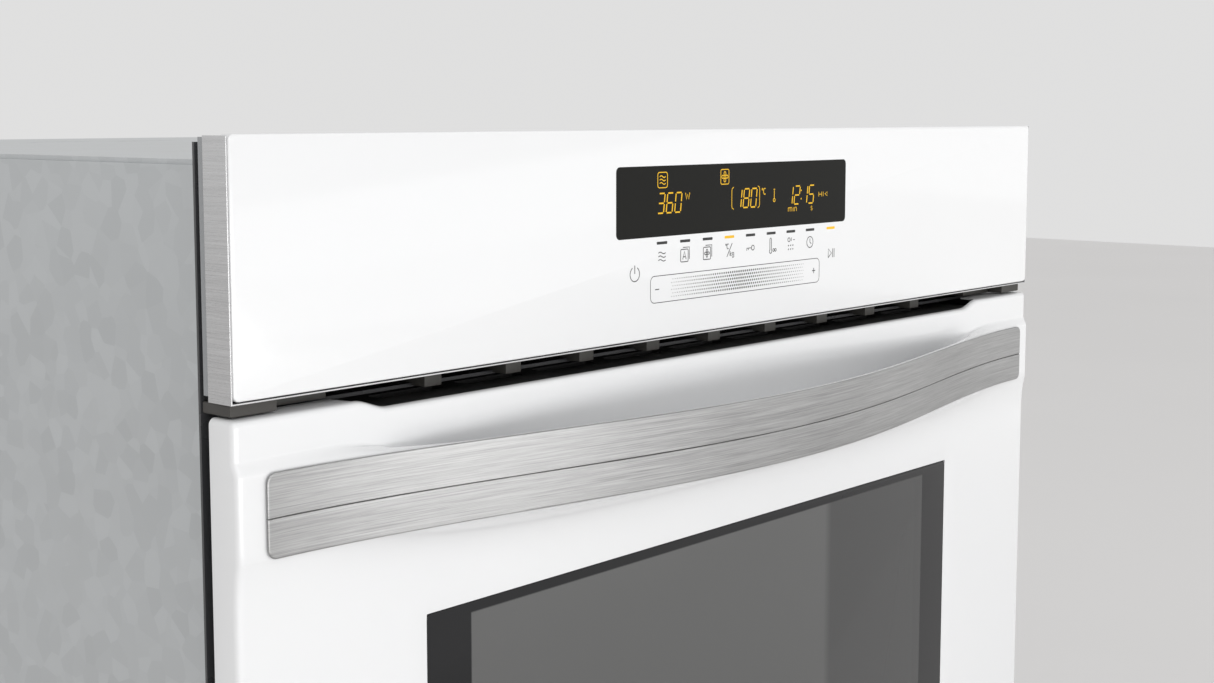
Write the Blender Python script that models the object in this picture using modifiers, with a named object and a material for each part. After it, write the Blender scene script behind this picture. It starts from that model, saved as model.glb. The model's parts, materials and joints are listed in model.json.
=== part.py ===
# Built-in wall oven with a microwave. Constants are in millimetres, and Blender's units are metres.
# The front faces -Y, +X is to the right, and the origin is on the niche floor under the middle.
import math

import bmesh
import bpy
from mathutils import Matrix, Vector

MM = 0.001
SHEET = 1.2
GAP = 0.3
BEYOND = 10.0

# Front
FRONT_WIDTH = 595.0
FRONT_TOP = 595.0
FRONT_Y = -264.0
FLANGE_Y = -242.0
PANEL_BOTTOM = 498.7
TRIM = 0.6
GLASS_THICK = 6.0
DISPLAY_X = (-89.0, 94.7)
DISPLAY_Z = (546.2, 578.5)

# Housing
BODY_HALF = 280.0
BODY_TOP = 585.0
REAR_Y = 306.0
BASE_FRONT_Y = -220.0
RECESS_HALF = 266.0
RECESS_BOTTOM = 8.0
RECESS_TOP = 491.2
RECESS_BACK_Y = -222.2

# Cavity
CAVITY_HALF = 225.0
CAVITY_BOTTOM = 75.0
CAVITY_TOP = 415.0
MOUTH_Y = -222.0
CAVITY_BACK_Y = 190.0
LINER_FLANGE = 15.0
FAN_Z = 245.0
FAN_COVER_Y = 147.0
HEATER_RADIUS = 3.5
HEATER_END_Y = 208.0
HEATER_LEG_X = 30.0
GRILL_Z = 403.0
BOTTOM_HEATER_Z = 67.0
RING_RADIUS = 92.0
RING_Y = 167.0
LAMP_AT = (-186.0, 368.0)
RACK_LEVELS = (130.0, 185.0, 240.0, 295.0, 350.0)
TRAY_LEVEL = 185.0
SHELF_LEVEL = 295.0
RUNG_X = 217.0
RUNG_RADIUS = 2.2
SHELF_HALF = 213.5
SHELF_FRONT_Y = -205.0
SHELF_BACK_Y = 138.0

# Insulation blanket
WRAP_HALF = 247.0
WRAP_BOTTOM = 44.0
WRAP_TOP = 437.0
WRAP_BACK_Y = 212.5

# Microwave feed and cooling air
DOME_RADIUS = 70.0
DOME_TOP = 462.0
MAGNETRON_X = 210.0
BLOWER_Y = 150.0
BLOWER_RADIUS = 78.0
BLOWER_Z = (490.0, 532.0)
RIB_PITCH = 47.0
RIB_WIDTH = 9.5
GRILLE_Y = -251.0
GRILLE_REAR_Y = -229.0
GRILLE_HALF = 274.2
VENT_END_X = 244.0
CHEEK_END_X = 295.5
CHEEK_BACK = 4.0

# Door
DOOR_BOTTOM = 11.0
EAR_TOP = 493.0
DIP_TOP = 489.0
EAR_WIDTH = 58.0
DIP_RUN = 17.0
TOP_RETURN = 2.6
SKIN_DEPTH = 14.0
WINDOW_HALF = 204.5
WINDOW_Z = (100.0, 402.0)
CORNER = 3.0
PIVOT_Y = -251.0
PIVOT_Z = 18.0
PIVOT_RADIUS = 3.0
HINGE_X = 252.5
FRAME_HALF = 263.0
FRAME_Z = (20.0, 486.0)
FRAME_Y = (-257.0, -229.3)
FRAME_RAIL = 37.0
FRAME_RAIL_BOTTOM = 54.0
FRAME_RAIL_TOP = 66.0
INNER_GLASS_Y = (-229.0, -225.0)
SWITCH_AT = (250.0, 450.0)

# Handle: a plate on a grip that bows out of the door
PLATE_HALF = 285.4
PLATE_Z = (440.9, 473.1)
PLATE_THICK = 1.2
PLATE_PROUD = 3.5
PLATE_CORNER = 4.0
GROOVE_Z = 456.2
GROOVE_WIDTH = 1.2
GROOVE_DEPTH = 0.4
BOW_REACH = 38.5
BOW_POWER = 0.86
FLARE_POWER = 5
LIP_THICK = 5.0
LIP_TOP = 472.8
GRIP_BOTTOM = 405.0
GRIP_BORDER = 3.0
GRIP_EDGE = 0.8
GRIP_WALL = 2.6
GRIP_WEB = 3.5
HOLLOW_HALF = 225.0
POCKET_BOTTOM = 446.0
POCKET_HALF = 205.0

MATERIALS = {
    "whiteEnamel": ((0.86, 0.87, 0.88), 0.16, 0.0),
    "whiteGlass": ((0.88, 0.89, 0.90), 0.08, 0.0),
    "brushedSteel": ((0.60, 0.59, 0.57), 0.32, 1.0),
    "aluminiumTrim": ((0.70, 0.70, 0.71), 0.28, 1.0),
    "zincSheet": ((0.55, 0.57, 0.58), 0.45, 1.0),
    "darkEnamel": ((0.045, 0.047, 0.05), 0.30, 0.0),
    "cavityEnamel": ((0.07, 0.075, 0.085), 0.22, 0.0),
    "darkPlastic": ((0.055, 0.053, 0.05), 0.55, 0.0),
    "blackPlastic": ((0.015, 0.015, 0.016), 0.45, 0.0),
    "greyPlastic": ((0.35, 0.36, 0.37), 0.5, 0.0),
    "tintedGlass": ((0.03, 0.032, 0.035), 0.05, 0.0),
    "clearGlass": ((0.75, 0.80, 0.79), 0.04, 0.0),
    "chromeWire": ((0.75, 0.76, 0.78), 0.15, 1.0),
    "heaterSteel": ((0.22, 0.22, 0.23), 0.42, 1.0),
    "mineralWool": ((0.72, 0.68, 0.52), 0.95, 0.0),
    "sealCord": ((0.16, 0.16, 0.17), 0.8, 0.0),
    "ceramic": ((0.80, 0.79, 0.75), 0.45, 0.0),
    "boardGreen": ((0.04, 0.22, 0.10), 0.5, 0.0),
    "castAluminium": ((0.62, 0.63, 0.64), 0.4, 1.0),
}


def clearScene():
    for obj in list(bpy.data.objects):
        bpy.data.objects.remove(obj, do_unlink=True)


def makeCollection(name):
    collection = bpy.data.collections.new(name)
    bpy.context.scene.collection.children.link(collection)
    return collection


def makeMaterials():
    for name, (colour, roughness, metallic) in MATERIALS.items():
        material = bpy.data.materials.new(name)
        material.use_nodes = True
        shader = material.node_tree.nodes["Principled BSDF"]
        shader.inputs["Base Color"].default_value = (*colour, 1.0)
        shader.inputs["Roughness"].default_value = roughness
        shader.inputs["Metallic"].default_value = metallic


def moveTo(obj, collection):
    for other in list(obj.users_collection):
        other.objects.unlink(obj)
    collection.objects.link(obj)


def finish(obj, name, material):
    # A piece with a material is a part, and one without is a cutter.
    obj.name = name
    if material is None:
        moveTo(obj, cutters)
        obj.hide_render = True
        obj.display_type = "WIRE"
        return obj
    moveTo(obj, parts)
    obj.data.name = name
    obj.data.materials.clear()
    obj.data.materials.append(bpy.data.materials[material])
    return obj


def box(name, xs, ys, zs, material=None):
    low = Vector((min(xs), min(ys), min(zs))) * MM
    high = Vector((max(xs), max(ys), max(zs))) * MM
    bpy.ops.mesh.primitive_cube_add(size=1.0, location=(low + high) / 2)
    obj = bpy.context.object
    obj.scale = high - low
    bpy.ops.object.transform_apply(location=False, rotation=False, scale=True)
    return finish(obj, name, material)


TURNS = {
    "X": (0.0, math.pi / 2, 0.0),
    "Y": (-math.pi / 2, 0.0, 0.0),
    "Z": (0.0, 0.0, 0.0),
}


def rod(name, axis, start, length, radius, material=None, sides=24):
    # A cylinder that runs from start along +axis.
    along = Vector((axis == "X", axis == "Y", axis == "Z"))
    middle = Vector(start) + along * length / 2
    bpy.ops.mesh.primitive_cylinder_add(
        vertices=sides,
        radius=radius * MM,
        depth=length * MM,
        location=middle * MM,
        rotation=TURNS[axis],
    )
    obj = bpy.context.object
    bpy.ops.object.transform_apply(location=False, rotation=True, scale=True)
    if material is not None:
        obj.data.shade_smooth()
        obj.data.set_sharp_from_angle(angle=math.radians(40))
    return finish(obj, name, material)


def tube(name, points, radius, material, cyclic=False, resolution=1):
    curve = bpy.data.curves.new(name, "CURVE")
    curve.dimensions = "3D"
    curve.bevel_depth = radius * MM
    curve.bevel_resolution = resolution
    curve.use_fill_caps = not cyclic
    spline = curve.splines.new("POLY")
    spline.points.add(len(points) - 1)
    for place, point in zip(spline.points, points):
        place.co = (*(Vector(point) * MM), 1.0)
    spline.use_cyclic_u = cyclic
    obj = bpy.data.objects.new(name, curve)
    parts.objects.link(obj)
    return finish(obj, name, material)


def outlinePlate(name, outline, ys, material=None):
    # A flat outline of (x, z) points, extruded between two Y planes.
    curve = bpy.data.curves.new(name, "CURVE")
    curve.dimensions = "2D"
    curve.fill_mode = "BOTH"
    curve.extrude = abs(ys[1] - ys[0]) / 2 * MM
    spline = curve.splines.new("POLY")
    spline.points.add(len(outline) - 1)
    for place, (x, z) in zip(spline.points, outline):
        place.co = (x * MM, z * MM, 0.0, 1.0)
    spline.use_cyclic_u = True
    flat = bpy.data.objects.new(name + "Outline", curve)
    parts.objects.link(flat)
    flat.rotation_euler = (math.pi / 2, 0.0, 0.0)
    flat.location = (0.0, (ys[0] + ys[1]) / 2 * MM, 0.0)
    return solidFromCurve(flat, name, material)


def solidFromCurve(flat, name, material):
    bpy.context.view_layer.update()
    seen = flat.evaluated_get(bpy.context.evaluated_depsgraph_get())
    mesh = bpy.data.meshes.new_from_object(seen)
    shape = bmesh.new()
    shape.from_mesh(mesh)
    bmesh.ops.remove_doubles(shape, verts=shape.verts, dist=1e-6)
    bmesh.ops.recalc_face_normals(shape, faces=shape.faces)
    shape.to_mesh(mesh)
    shape.free()
    obj = bpy.data.objects.new(name, mesh)
    obj.matrix_world = flat.matrix_world.copy()
    parts.objects.link(obj)
    bpy.data.objects.remove(flat, do_unlink=True)
    return finish(obj, name, material)


def roundedOutline(xs, zs, radius, steps=4):
    points = []
    centres = (
        (xs[1] - radius, zs[1] - radius, 0),
        (xs[0] + radius, zs[1] - radius, 90),
        (xs[0] + radius, zs[0] + radius, 180),
        (xs[1] - radius, zs[0] + radius, 270),
    )
    for x, z, start in centres:
        for step in range(steps + 1):
            angle = math.radians(start + 90 * step / steps)
            points.append((x + radius * math.cos(angle), z + radius * math.sin(angle)))
    return points


def loft(name, sections, material=None):
    # Skins closed rings of points, one ring after another, and caps both ends.
    shape = bmesh.new()
    rings = [[shape.verts.new(Vector(p) * MM) for p in ring] for ring in sections]
    count = len(rings[0])
    for first, second in zip(rings, rings[1:]):
        for k in range(count):
            after = (k + 1) % count
            shape.faces.new((first[k], first[after], second[after], second[k]))
    shape.faces.new(rings[0])
    shape.faces.new(rings[-1])
    bmesh.ops.recalc_face_normals(shape, faces=shape.faces)
    mesh = bpy.data.meshes.new(name)
    shape.to_mesh(mesh)
    shape.free()
    obj = bpy.data.objects.new(name, mesh)
    parts.objects.link(obj)
    return finish(obj, name, material)


def turned(name, profile, centre, material, steps=32):
    # Turns a closed (radius, height) profile about a vertical axis.
    mesh = bpy.data.meshes.new(name)
    places = [(radius * MM, 0.0, height * MM) for radius, height in profile]
    closed = profile[0][0] > 0.0
    edges = [(k, k + 1) for k in range(len(places) - 1)]
    if closed:
        edges.append((len(places) - 1, 0))
    mesh.from_pydata(places, edges, [])
    obj = bpy.data.objects.new(name, mesh)
    obj.location = Vector(centre) * MM
    parts.objects.link(obj)
    screw = obj.modifiers.new("turn", "SCREW")
    screw.steps = steps
    screw.render_steps = steps
    screw.use_merge_vertices = True
    screw.merge_threshold = 1e-5
    screw.use_smooth_shade = True
    return finish(obj, name, material)


def boolean(obj, others, operation):
    for other in others:
        change = obj.modifiers.new(operation.lower(), "BOOLEAN")
        change.operation = operation
        change.solver = "EXACT"
        change.object = other
    return obj


def cut(obj, *others):
    return boolean(obj, others, "DIFFERENCE")


def join(obj, *others):
    return boolean(obj, others, "UNION")


def setOrigin(obj, point):
    # Puts a moving piece's origin on its joint's axis without moving the piece.
    shift = Vector(point) * MM - obj.location
    obj.data.transform(Matrix.Translation(-shift))
    obj.location = Vector(point) * MM


def sideName(base, side):
    return base + ("_left" if side < 0 else "_right")


# ---- Housing ----


def makeBasePlate():
    plate = box(
        "base_plate",
        (-BODY_HALF + 1.5, BODY_HALF - 1.5),
        (BASE_FRONT_Y, REAR_Y - 3.0),
        (0.0, SHEET),
        "zincSheet",
    )
    for side in (-1, 1):
        x = side * (BODY_HALF - 1.5)
        ys = (BASE_FRONT_Y, REAR_Y - 3.0)
        join(plate, box("baseEdge", (x, x - side * SHEET), ys, (0.2, 16.0)))
    for k in range(5):
        y = -120.0 + 80.0 * k
        slot = box("baseSlot", (-120.0, 120.0), (y, y + 8.0), (-BEYOND, BEYOND))
        cut(plate, slot)


def makeSidePanel(side):
    x = side * BODY_HALF
    xs = (x, x - side * SHEET)
    ys = (FLANGE_Y + GAP, REAR_Y - 2.0)
    panel = box(sideName("side_panel", side), xs, ys, (2.0, BODY_TOP - 2.0), "zincSheet")
    for k in range(4):
        z = 500.0 + 16.0 * k
        slot = box("sideSlot", (x - BEYOND, x + BEYOND), (120.0, 240.0), (z, z + 6.0))
        cut(panel, slot)


def makeTopCover():
    half = BODY_HALF - 1.5
    ys = (FLANGE_Y + GAP, REAR_Y - 3.0)
    cover = box("top_cover", (-half, half), ys, (BODY_TOP - SHEET, BODY_TOP), "zincSheet")
    for side in (-1, 1):
        xs = (side * half, side * (half - SHEET))
        join(cover, box("topEdge", xs, ys, (BODY_TOP - 16.0, BODY_TOP - 0.2)))
    for k in range(6):
        x = -150.0 + 60.0 * k
        zs = (BODY_TOP - BEYOND, BODY_TOP + BEYOND)
        cut(cover, box("topSlot", (x - 20.0, x + 20.0), (180.0, 188.0), zs))


def makeRearCover():
    half = BODY_HALF - 1.0
    ys = (REAR_Y - SHEET, REAR_Y)
    cover = box("rear_cover", (-half, half), ys, (3.0, BODY_TOP - 2.0), "zincSheet")
    through = (REAR_Y - BEYOND, REAR_Y + BEYOND)
    for k in range(5):
        for side in (-1, 1):
            xs = (side * 60.0, side * 180.0)
            z = 40.0 + 18.0 * k
            cut(cover, box("rearSlot", xs, through, (z, z + 6.0)))
    cut(cover, box("terminalHole", (138.0, 222.0), through, (528.0, 562.0)))


def makeFrontFrame():
    # A flange against the cabinet, with a recess that the door's inner panes close into.
    frame = box("front_frame", (-296.0, 296.0), (FLANGE_Y - SHEET, FLANGE_Y), (4.0, 592.0), "darkEnamel")
    half = RECESS_HALF + SHEET
    ys = (FLANGE_Y - 0.5, RECESS_BACK_Y + SHEET)
    zs = (RECESS_BOTTOM - SHEET, RECESS_TOP + 1.0)
    join(frame, box("recessBlock", (-half, half), ys, zs))
    xs = (-RECESS_HALF, RECESS_HALF)
    cut(frame, box("recess", xs, (-260.0, RECESS_BACK_Y), (RECESS_BOTTOM, RECESS_TOP)))
    mouth = CAVITY_HALF + LINER_FLANGE + 1.0
    zs = (CAVITY_BOTTOM - LINER_FLANGE - 1.0, CAVITY_TOP + LINER_FLANGE + 1.0)
    cut(frame, box("mouth", (-mouth, mouth), (-260.0, -200.0), zs))
    cut(frame, box("airGap", (-275.0, 275.0), (-260.0, -236.0), (RECESS_TOP + 1.4, 499.0)))
    for side in (-1, 1):
        x = side * HINGE_X
        cut(frame, box("armSlot", (x - 3.0, x + 3.0), (-260.0, -215.0), (7.9, 28.0)))
        start = (side * SWITCH_AT[0], -230.0, SWITCH_AT[1])
        cut(frame, rod("plungerHole", "Y", start, 20.0, 3.8, sides=12))
        for z in (120.0, 460.0):
            cut(frame, rod("screwHole", "Y", (side * 289.0, -250.0, z), 20.0, 2.4, sides=12))


# ---- Cavity ----


def makeCavityLiner():
    outer = CAVITY_HALF + SHEET
    zs = (CAVITY_BOTTOM - SHEET, CAVITY_TOP + SHEET)
    ys = (MOUTH_Y + 0.5, CAVITY_BACK_Y + SHEET)
    liner = box("cavity_liner", (-outer, outer), ys, zs, "cavityEnamel")
    flange = CAVITY_HALF + LINER_FLANGE
    zs = (CAVITY_BOTTOM - LINER_FLANGE, CAVITY_TOP + LINER_FLANGE)
    join(liner, box("linerFlange", (-flange, flange), (MOUTH_Y, MOUTH_Y + SHEET), zs))
    xs = (-CAVITY_HALF, CAVITY_HALF)
    ys = (MOUTH_Y - BEYOND, CAVITY_BACK_Y)
    cut(liner, box("cavity", xs, ys, (CAVITY_BOTTOM, CAVITY_TOP)))
    cut(liner, *rearHoles(12.0, 24.0, 4.6, "liner", CAVITY_BACK_Y - BEYOND))
    cut(liner, rod("feedHole", "Z", (0.0, 0.0, CAVITY_TOP - BEYOND), 20.0, 66.0))


def rearHoles(shaft, lamp, leg, owner, y):
    # Cutters for the fan's shaft, the lamp and the heaters' ends, through a rear wall.
    length = 60.0
    holes = [
        rod(owner + "ShaftHole", "Y", (0.0, y, FAN_Z), length, shaft, sides=16),
        rod(owner + "LampHole", "Y", (LAMP_AT[0], y, LAMP_AT[1]), length, lamp, sides=24),
    ]
    for side in (-1, 1):
        x = side * HEATER_LEG_X
        for z in (GRILL_Z, FAN_Z - math.sqrt(RING_RADIUS**2 - HEATER_LEG_X**2)):
            holes.append(rod(owner + "LegHole", "Y", (x, y, z), length, leg, sides=12))
    return holes


def makeInsulation():
    xs = (-WRAP_HALF, WRAP_HALF)
    wrap = box("insulation_wrap", xs, (-219.0, WRAP_BACK_Y), (WRAP_BOTTOM, WRAP_TOP), "mineralWool")
    inner = CAVITY_HALF + SHEET + 0.8
    ys = (-225.0, CAVITY_BACK_Y + SHEET + 0.8)
    zs = (BOTTOM_HEATER_Z - 7.0, CAVITY_TOP + SHEET + 0.8)
    cut(wrap, box("wrapInside", (-inner, inner), ys, zs))
    cut(wrap, *rearHoles(14.0, 27.0, 6.0, "wrap", CAVITY_BACK_Y - BEYOND))
    cut(wrap, rod("wrapFeedHole", "Z", (0.0, 0.0, 410.0), 40.0, 80.0))
    for side in (-1, 1):
        start = (side * HEATER_LEG_X, 180.0, BOTTOM_HEATER_Z)
        cut(wrap, rod("wrapLegHole", "Y", start, 50.0, 6.0, sides=12))


def makeDoorSeal():
    middle = LINER_FLANGE / 2
    outline = roundedOutline(
        (-CAVITY_HALF - middle, CAVITY_HALF + middle),
        (CAVITY_BOTTOM - middle, CAVITY_TOP + middle),
        14.0,
        steps=5,
    )
    y = (MOUTH_Y + INNER_GLASS_Y[1]) / 2
    tube("door_seal", [(x, y, z) for x, z in outline], 1.2, "sealCord", cyclic=True)


def makeFanCover():
    xs = (-150.0, 150.0)
    zs = (105.0, 385.0)
    cover = box("fan_cover", xs, (FAN_COVER_Y, CAVITY_BACK_Y - GAP), zs, "cavityEnamel")
    inside = box("fanRoom", (-148.8, 148.8), (FAN_COVER_Y + SHEET, 200.0), (106.2, 383.8))
    cut(cover, inside)
    through = (FAN_COVER_Y - 5.0, FAN_COVER_Y + 5.0)
    for k in range(-3, 4):
        z = FAN_Z + 16.0 * k
        half = math.sqrt(62.0**2 - (16.0 * k) ** 2)
        cut(cover, box("intake", (-half, half), through, (z - 3.5, z + 3.5)))
    for side in (-1, 1):
        for x in (120.0, 134.0):
            xs = (side * x, side * (x + 6.0))
            cut(cover, box("outlet", xs, through, (145.0, 345.0)))


def makeHeaters():
    leg = math.asin(HEATER_LEG_X / RING_RADIUS)
    steps = 28
    ring = []
    for k in range(steps + 1):
        angle = -math.pi / 2 + leg + (2 * math.pi - 2 * leg) * k / steps
        x = RING_RADIUS * math.cos(angle)
        z = FAN_Z + RING_RADIUS * math.sin(angle)
        ring.append((x, RING_Y, z))
    first = (ring[0][0], HEATER_END_Y, ring[0][2])
    last = (ring[-1][0], HEATER_END_Y, ring[-1][2])
    tube("ring_heater", [first, *ring, last], HEATER_RADIUS, "heaterSteel")

    half = [(30.0, HEATER_END_Y), (30.0, 136.0), (170.0, 136.0), (170.0, -170.0)]
    half += [(110.0, -170.0), (110.0, 100.0), (50.0, 100.0), (50.0, -170.0)]
    path = [(-x, y, GRILL_Z) for x, y in half] + [(x, y, GRILL_Z) for x, y in reversed(half)]
    tube("grill_element", path, HEATER_RADIUS, "heaterSteel")

    half = [(30.0, HEATER_END_Y), (30.0, 150.0), (190.0, 150.0), (190.0, -190.0)]
    path = [(-x, y, BOTTOM_HEATER_Z) for x, y in half]
    path += [(x, y, BOTTOM_HEATER_Z) for x, y in reversed(half)]
    tube("bottom_heater", path, HEATER_RADIUS, "heaterSteel")


def makeFan():
    start = (0.0, 158.0, FAN_Z)
    fan = rod("convection_fan", "Y", start, 19.0, 12.0, "zincSheet", sides=16)
    join(fan, rod("fanDisc", "Y", (0.0, 175.8, FAN_Z), SHEET, 70.0, sides=32))
    join(fan, rod("fanShaft", "Y", (0.0, 160.0, FAN_Z), 66.0, 4.0, sides=12))
    blades = 8
    for k in range(blades):
        blade = box("fanBlade", (10.0, 66.0), (160.0, 176.4), (-0.6, 0.6))
        turn = Matrix.Rotation(2 * math.pi * k / blades, 4, "Y")
        blade.data.transform(Matrix.Translation(blade.location))
        blade.data.transform(Matrix.Translation((0.0, 0.0, FAN_Z * MM)) @ turn)
        blade.location = (0.0, 0.0, 0.0)
        join(fan, blade)
    setOrigin(fan, (0.0, 168.0, FAN_Z))


def makeFanMotor():
    motor = rod("fan_motor", "Y", (0.0, 214.0, FAN_Z), 52.0, 36.0, "zincSheet", sides=28)
    join(motor, box("motorStrap", (-60.0, 60.0), (214.0, 217.0), (FAN_Z - 12.0, FAN_Z + 12.0)))
    join(motor, rod("motorEnd", "Y", (0.0, 264.0, FAN_Z), 12.0, 14.0, sides=16))
    cut(motor, rod("motorBore", "Y", (0.0, 205.0, FAN_Z), 25.0, 4.8, sides=12))


def makeLamp():
    x, z = LAMP_AT
    lens = rod("lamp_lens", "Y", (x, 184.0, z), 11.0, 22.8, "clearGlass", sides=24)
    round_ = lens.modifiers.new("softEdge", "BEVEL")
    round_.width = 3.0 * MM
    round_.segments = 2
    round_.limit_method = "ANGLE"
    holder = rod("lamp_holder", "Y", (x, 195.4, z), 46.0, 18.0, "ceramic", sides=20)
    join(holder, rod("lampCap", "Y", (x, 236.0, z), 14.0, 10.0, sides=16))


def makeSideRack(side):
    name = sideName("side_rack", side)
    ys = (-185.0, 118.0)
    upright = side * (RUNG_X + 4.0)
    rack = rod(name, "Z", (upright, ys[0], 95.0), 295.0, RUNG_RADIUS, "chromeWire", sides=8)
    join(rack, rod("upright", "Z", (upright, ys[1], 95.0), 295.0, RUNG_RADIUS, sides=8))
    for z in RACK_LEVELS:
        start = (side * RUNG_X, -196.0, z)
        join(rack, rod("rung", "Y", start, 326.0, RUNG_RADIUS, sides=8))
    for y in ys:
        for z in (110.0, 375.0):
            low = min(upright, side * (CAVITY_HALF - GAP))
            length = CAVITY_HALF - GAP - RUNG_X - 4.0
            join(rack, rod("rackPin", "X", (low, y, z), length, 1.6, sides=8))


def makeWireShelf():
    radius = 2.5
    z = SHELF_LEVEL + RUNG_RADIUS + GAP + radius
    width = 2 * SHELF_HALF
    depth = SHELF_BACK_Y - SHELF_FRONT_Y
    start = (-SHELF_HALF, SHELF_FRONT_Y, z)
    shelf = rod("wire_shelf", "Y", start, depth, radius, "chromeWire", sides=8)
    join(shelf, rod("shelfSide", "Y", (SHELF_HALF, SHELF_FRONT_Y, z), depth, radius, sides=8))
    for y in (SHELF_FRONT_Y + 1.5, SHELF_BACK_Y - 1.5):
        start = (-SHELF_HALF - 1.0, y, z)
        join(shelf, rod("shelfBar", "X", start, width + 2.0, radius - 0.2, sides=8))
    wires = 13
    for k in range(wires):
        x = -SHELF_HALF + width * (k + 1) / (wires + 1)
        join(shelf, rod("shelfWire", "Y", (x, SHELF_FRONT_Y + 1.0, z), depth - 2.0, 1.4, sides=6))
    setOrigin(shelf, (0.0, SHELF_FRONT_Y, z))


def makeBakingTray():
    # An open pan surface given its sheet thickness.
    z = TRAY_LEVEL + RUNG_RADIUS + GAP + SHEET
    loops = ((216.0, 0.0, 14.0), (209.0, 0.0, 12.0), (203.0, 28.0, 10.0), (199.0, 29.5, 8.0))
    shape = bmesh.new()
    rings = []
    for half, drop, radius in loops:
        inset = loops[0][0] - half
        ys = (SHELF_FRONT_Y + inset, SHELF_BACK_Y - inset)
        outline = roundedOutline((-half, half), ys, radius)
        rings.append([shape.verts.new(Vector((x, y, z - drop)) * MM) for x, y in outline])
    count = len(rings[0])
    for first, second in zip(rings, rings[1:]):
        for k in range(count):
            after = (k + 1) % count
            shape.faces.new((first[k], first[after], second[after], second[k]))
    shape.faces.new(rings[-1])
    bmesh.ops.recalc_face_normals(shape, faces=shape.faces)
    mesh = bpy.data.meshes.new("baking_tray")
    shape.to_mesh(mesh)
    shape.free()
    tray = bpy.data.objects.new("baking_tray", mesh)
    parts.objects.link(tray)
    finish(tray, "baking_tray", "darkEnamel")
    if mesh.polygons[-1].normal.z < 0:
        mesh.flip_normals()
    shell = tray.modifiers.new("sheet", "SOLIDIFY")
    shell.thickness = SHEET * MM
    shell.offset = -1.0
    setOrigin(tray, (0.0, SHELF_FRONT_Y, z))


# ---- Microwave feed, cooling air and electronics ----


def makeWaveguide():
    # A guide from the magnetron, welded to the dome over the cavity's ceiling.
    low = CAVITY_TOP + SHEET + GAP
    wide = DOME_RADIUS + 8.0
    hole = 6.0
    profile = [
        (hole, DOME_TOP),
        (DOME_RADIUS, DOME_TOP),
        (DOME_RADIUS, low + SHEET),
        (wide, low + SHEET),
        (wide, low),
        (DOME_RADIUS - SHEET, low),
        (DOME_RADIUS - SHEET, DOME_TOP - SHEET),
        (hole, DOME_TOP - SHEET),
    ]
    guide = turned("waveguide", profile, (0.0, 0.0, 0.0), "zincSheet")
    zs = (440.5, DOME_TOP - 0.1)
    join(guide, box("guideOutside", (DOME_RADIUS - 3.0, 252.0), (-24.0, 24.0), zs))
    inside = box("guideInside", (60.0, 250.8), (-22.8, 22.8), (zs[0] + SHEET, zs[1] - SHEET))
    antenna = rod("antennaHole", "Z", (MAGNETRON_X, 0.0, 455.0), 20.0, 13.0, sides=20)
    cut(guide, inside, antenna)


def makeStirrer():
    hub = rod("mode_stirrer", "Z", (0.0, 0.0, 424.0), 50.0, 3.0, "castAluminium", sides=12)
    paddles = 3
    for k in range(paddles):
        paddle = box("paddle", (-1.0, 58.0), (-14.0, 14.0), (428.0, 429.4))
        paddle.data.transform(Matrix.Translation(paddle.location))
        paddle.data.transform(Matrix.Rotation(2 * math.pi * k / paddles, 4, "Z"))
        paddle.location = (0.0, 0.0, 0.0)
        join(hub, paddle)
    setOrigin(hub, (0.0, 0.0, 424.0))
    start = (0.0, 0.0, CAVITY_TOP - 3.5)
    rod("ceiling_cover", "Z", start, 3.2, 74.0, "ceramic", sides=32)
    motor = box("stirrer_motor", (-25.0, 25.0), (-25.0, 25.0), (DOME_TOP + 1.0, 484.0), "greyPlastic")
    cut(motor, rod("stirrerBore", "Z", (0.0, 0.0, 455.0), 23.0, 3.6, sides=12))


def makeMagnetron():
    low = DOME_TOP + 0.4
    xs = (MAGNETRON_X - 38.0, MAGNETRON_X + 38.0)
    body = box("magnetron", xs, (-40.0, 40.0), (low, low + 6.0), "castAluminium")
    join(body, rod("antenna", "Z", (MAGNETRON_X, 0.0, 446.0), 20.0, 9.0, sides=20))
    join(body, rod("anode", "Z", (MAGNETRON_X, 0.0, low + 1.0), 88.0, 21.0, sides=24))
    for k in range(6):
        z = low + 14.0 + 11.0 * k
        join(body, box("fin", xs, (-34.0, 34.0), (z, z + 1.6)))
    for side in (-1, 1):
        wall = (side * 40.0, side * 37.6)
        join(body, box("yoke", (xs[0] + 4, xs[1] - 4), wall, (low + 1.0, low + 84.0)))
        ledge = (side * 30.0, side * 38.0)
        join(body, box("finEdge", (xs[0] + 14, xs[1] - 14), ledge, (low + 70.0, low + 72.0)))


def makeInverter():
    base = box("inverter", (-245.0, -135.0), (-70.0, 90.0), (452.0, 455.0), "boardGreen")
    join(base, box("transformer", (-235.0, -185.0), (20.0, 75.0), (454.0, 500.0)))
    join(base, box("heatSink", (-175.0, -145.0), (-60.0, 70.0), (454.0, 462.0)))
    for k in range(3):
        x = -172.0 + 10.0 * k
        join(base, box("heatFin", (x, x + 3.0), (-60.0, 70.0), (461.0, 486.0)))
    for k in range(3):
        start = (-215.0, -50.0 + 26.0 * k, 454.0)
        join(base, rod("capacitor", "Z", start, 28.0, 9.0, sides=14))


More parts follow.
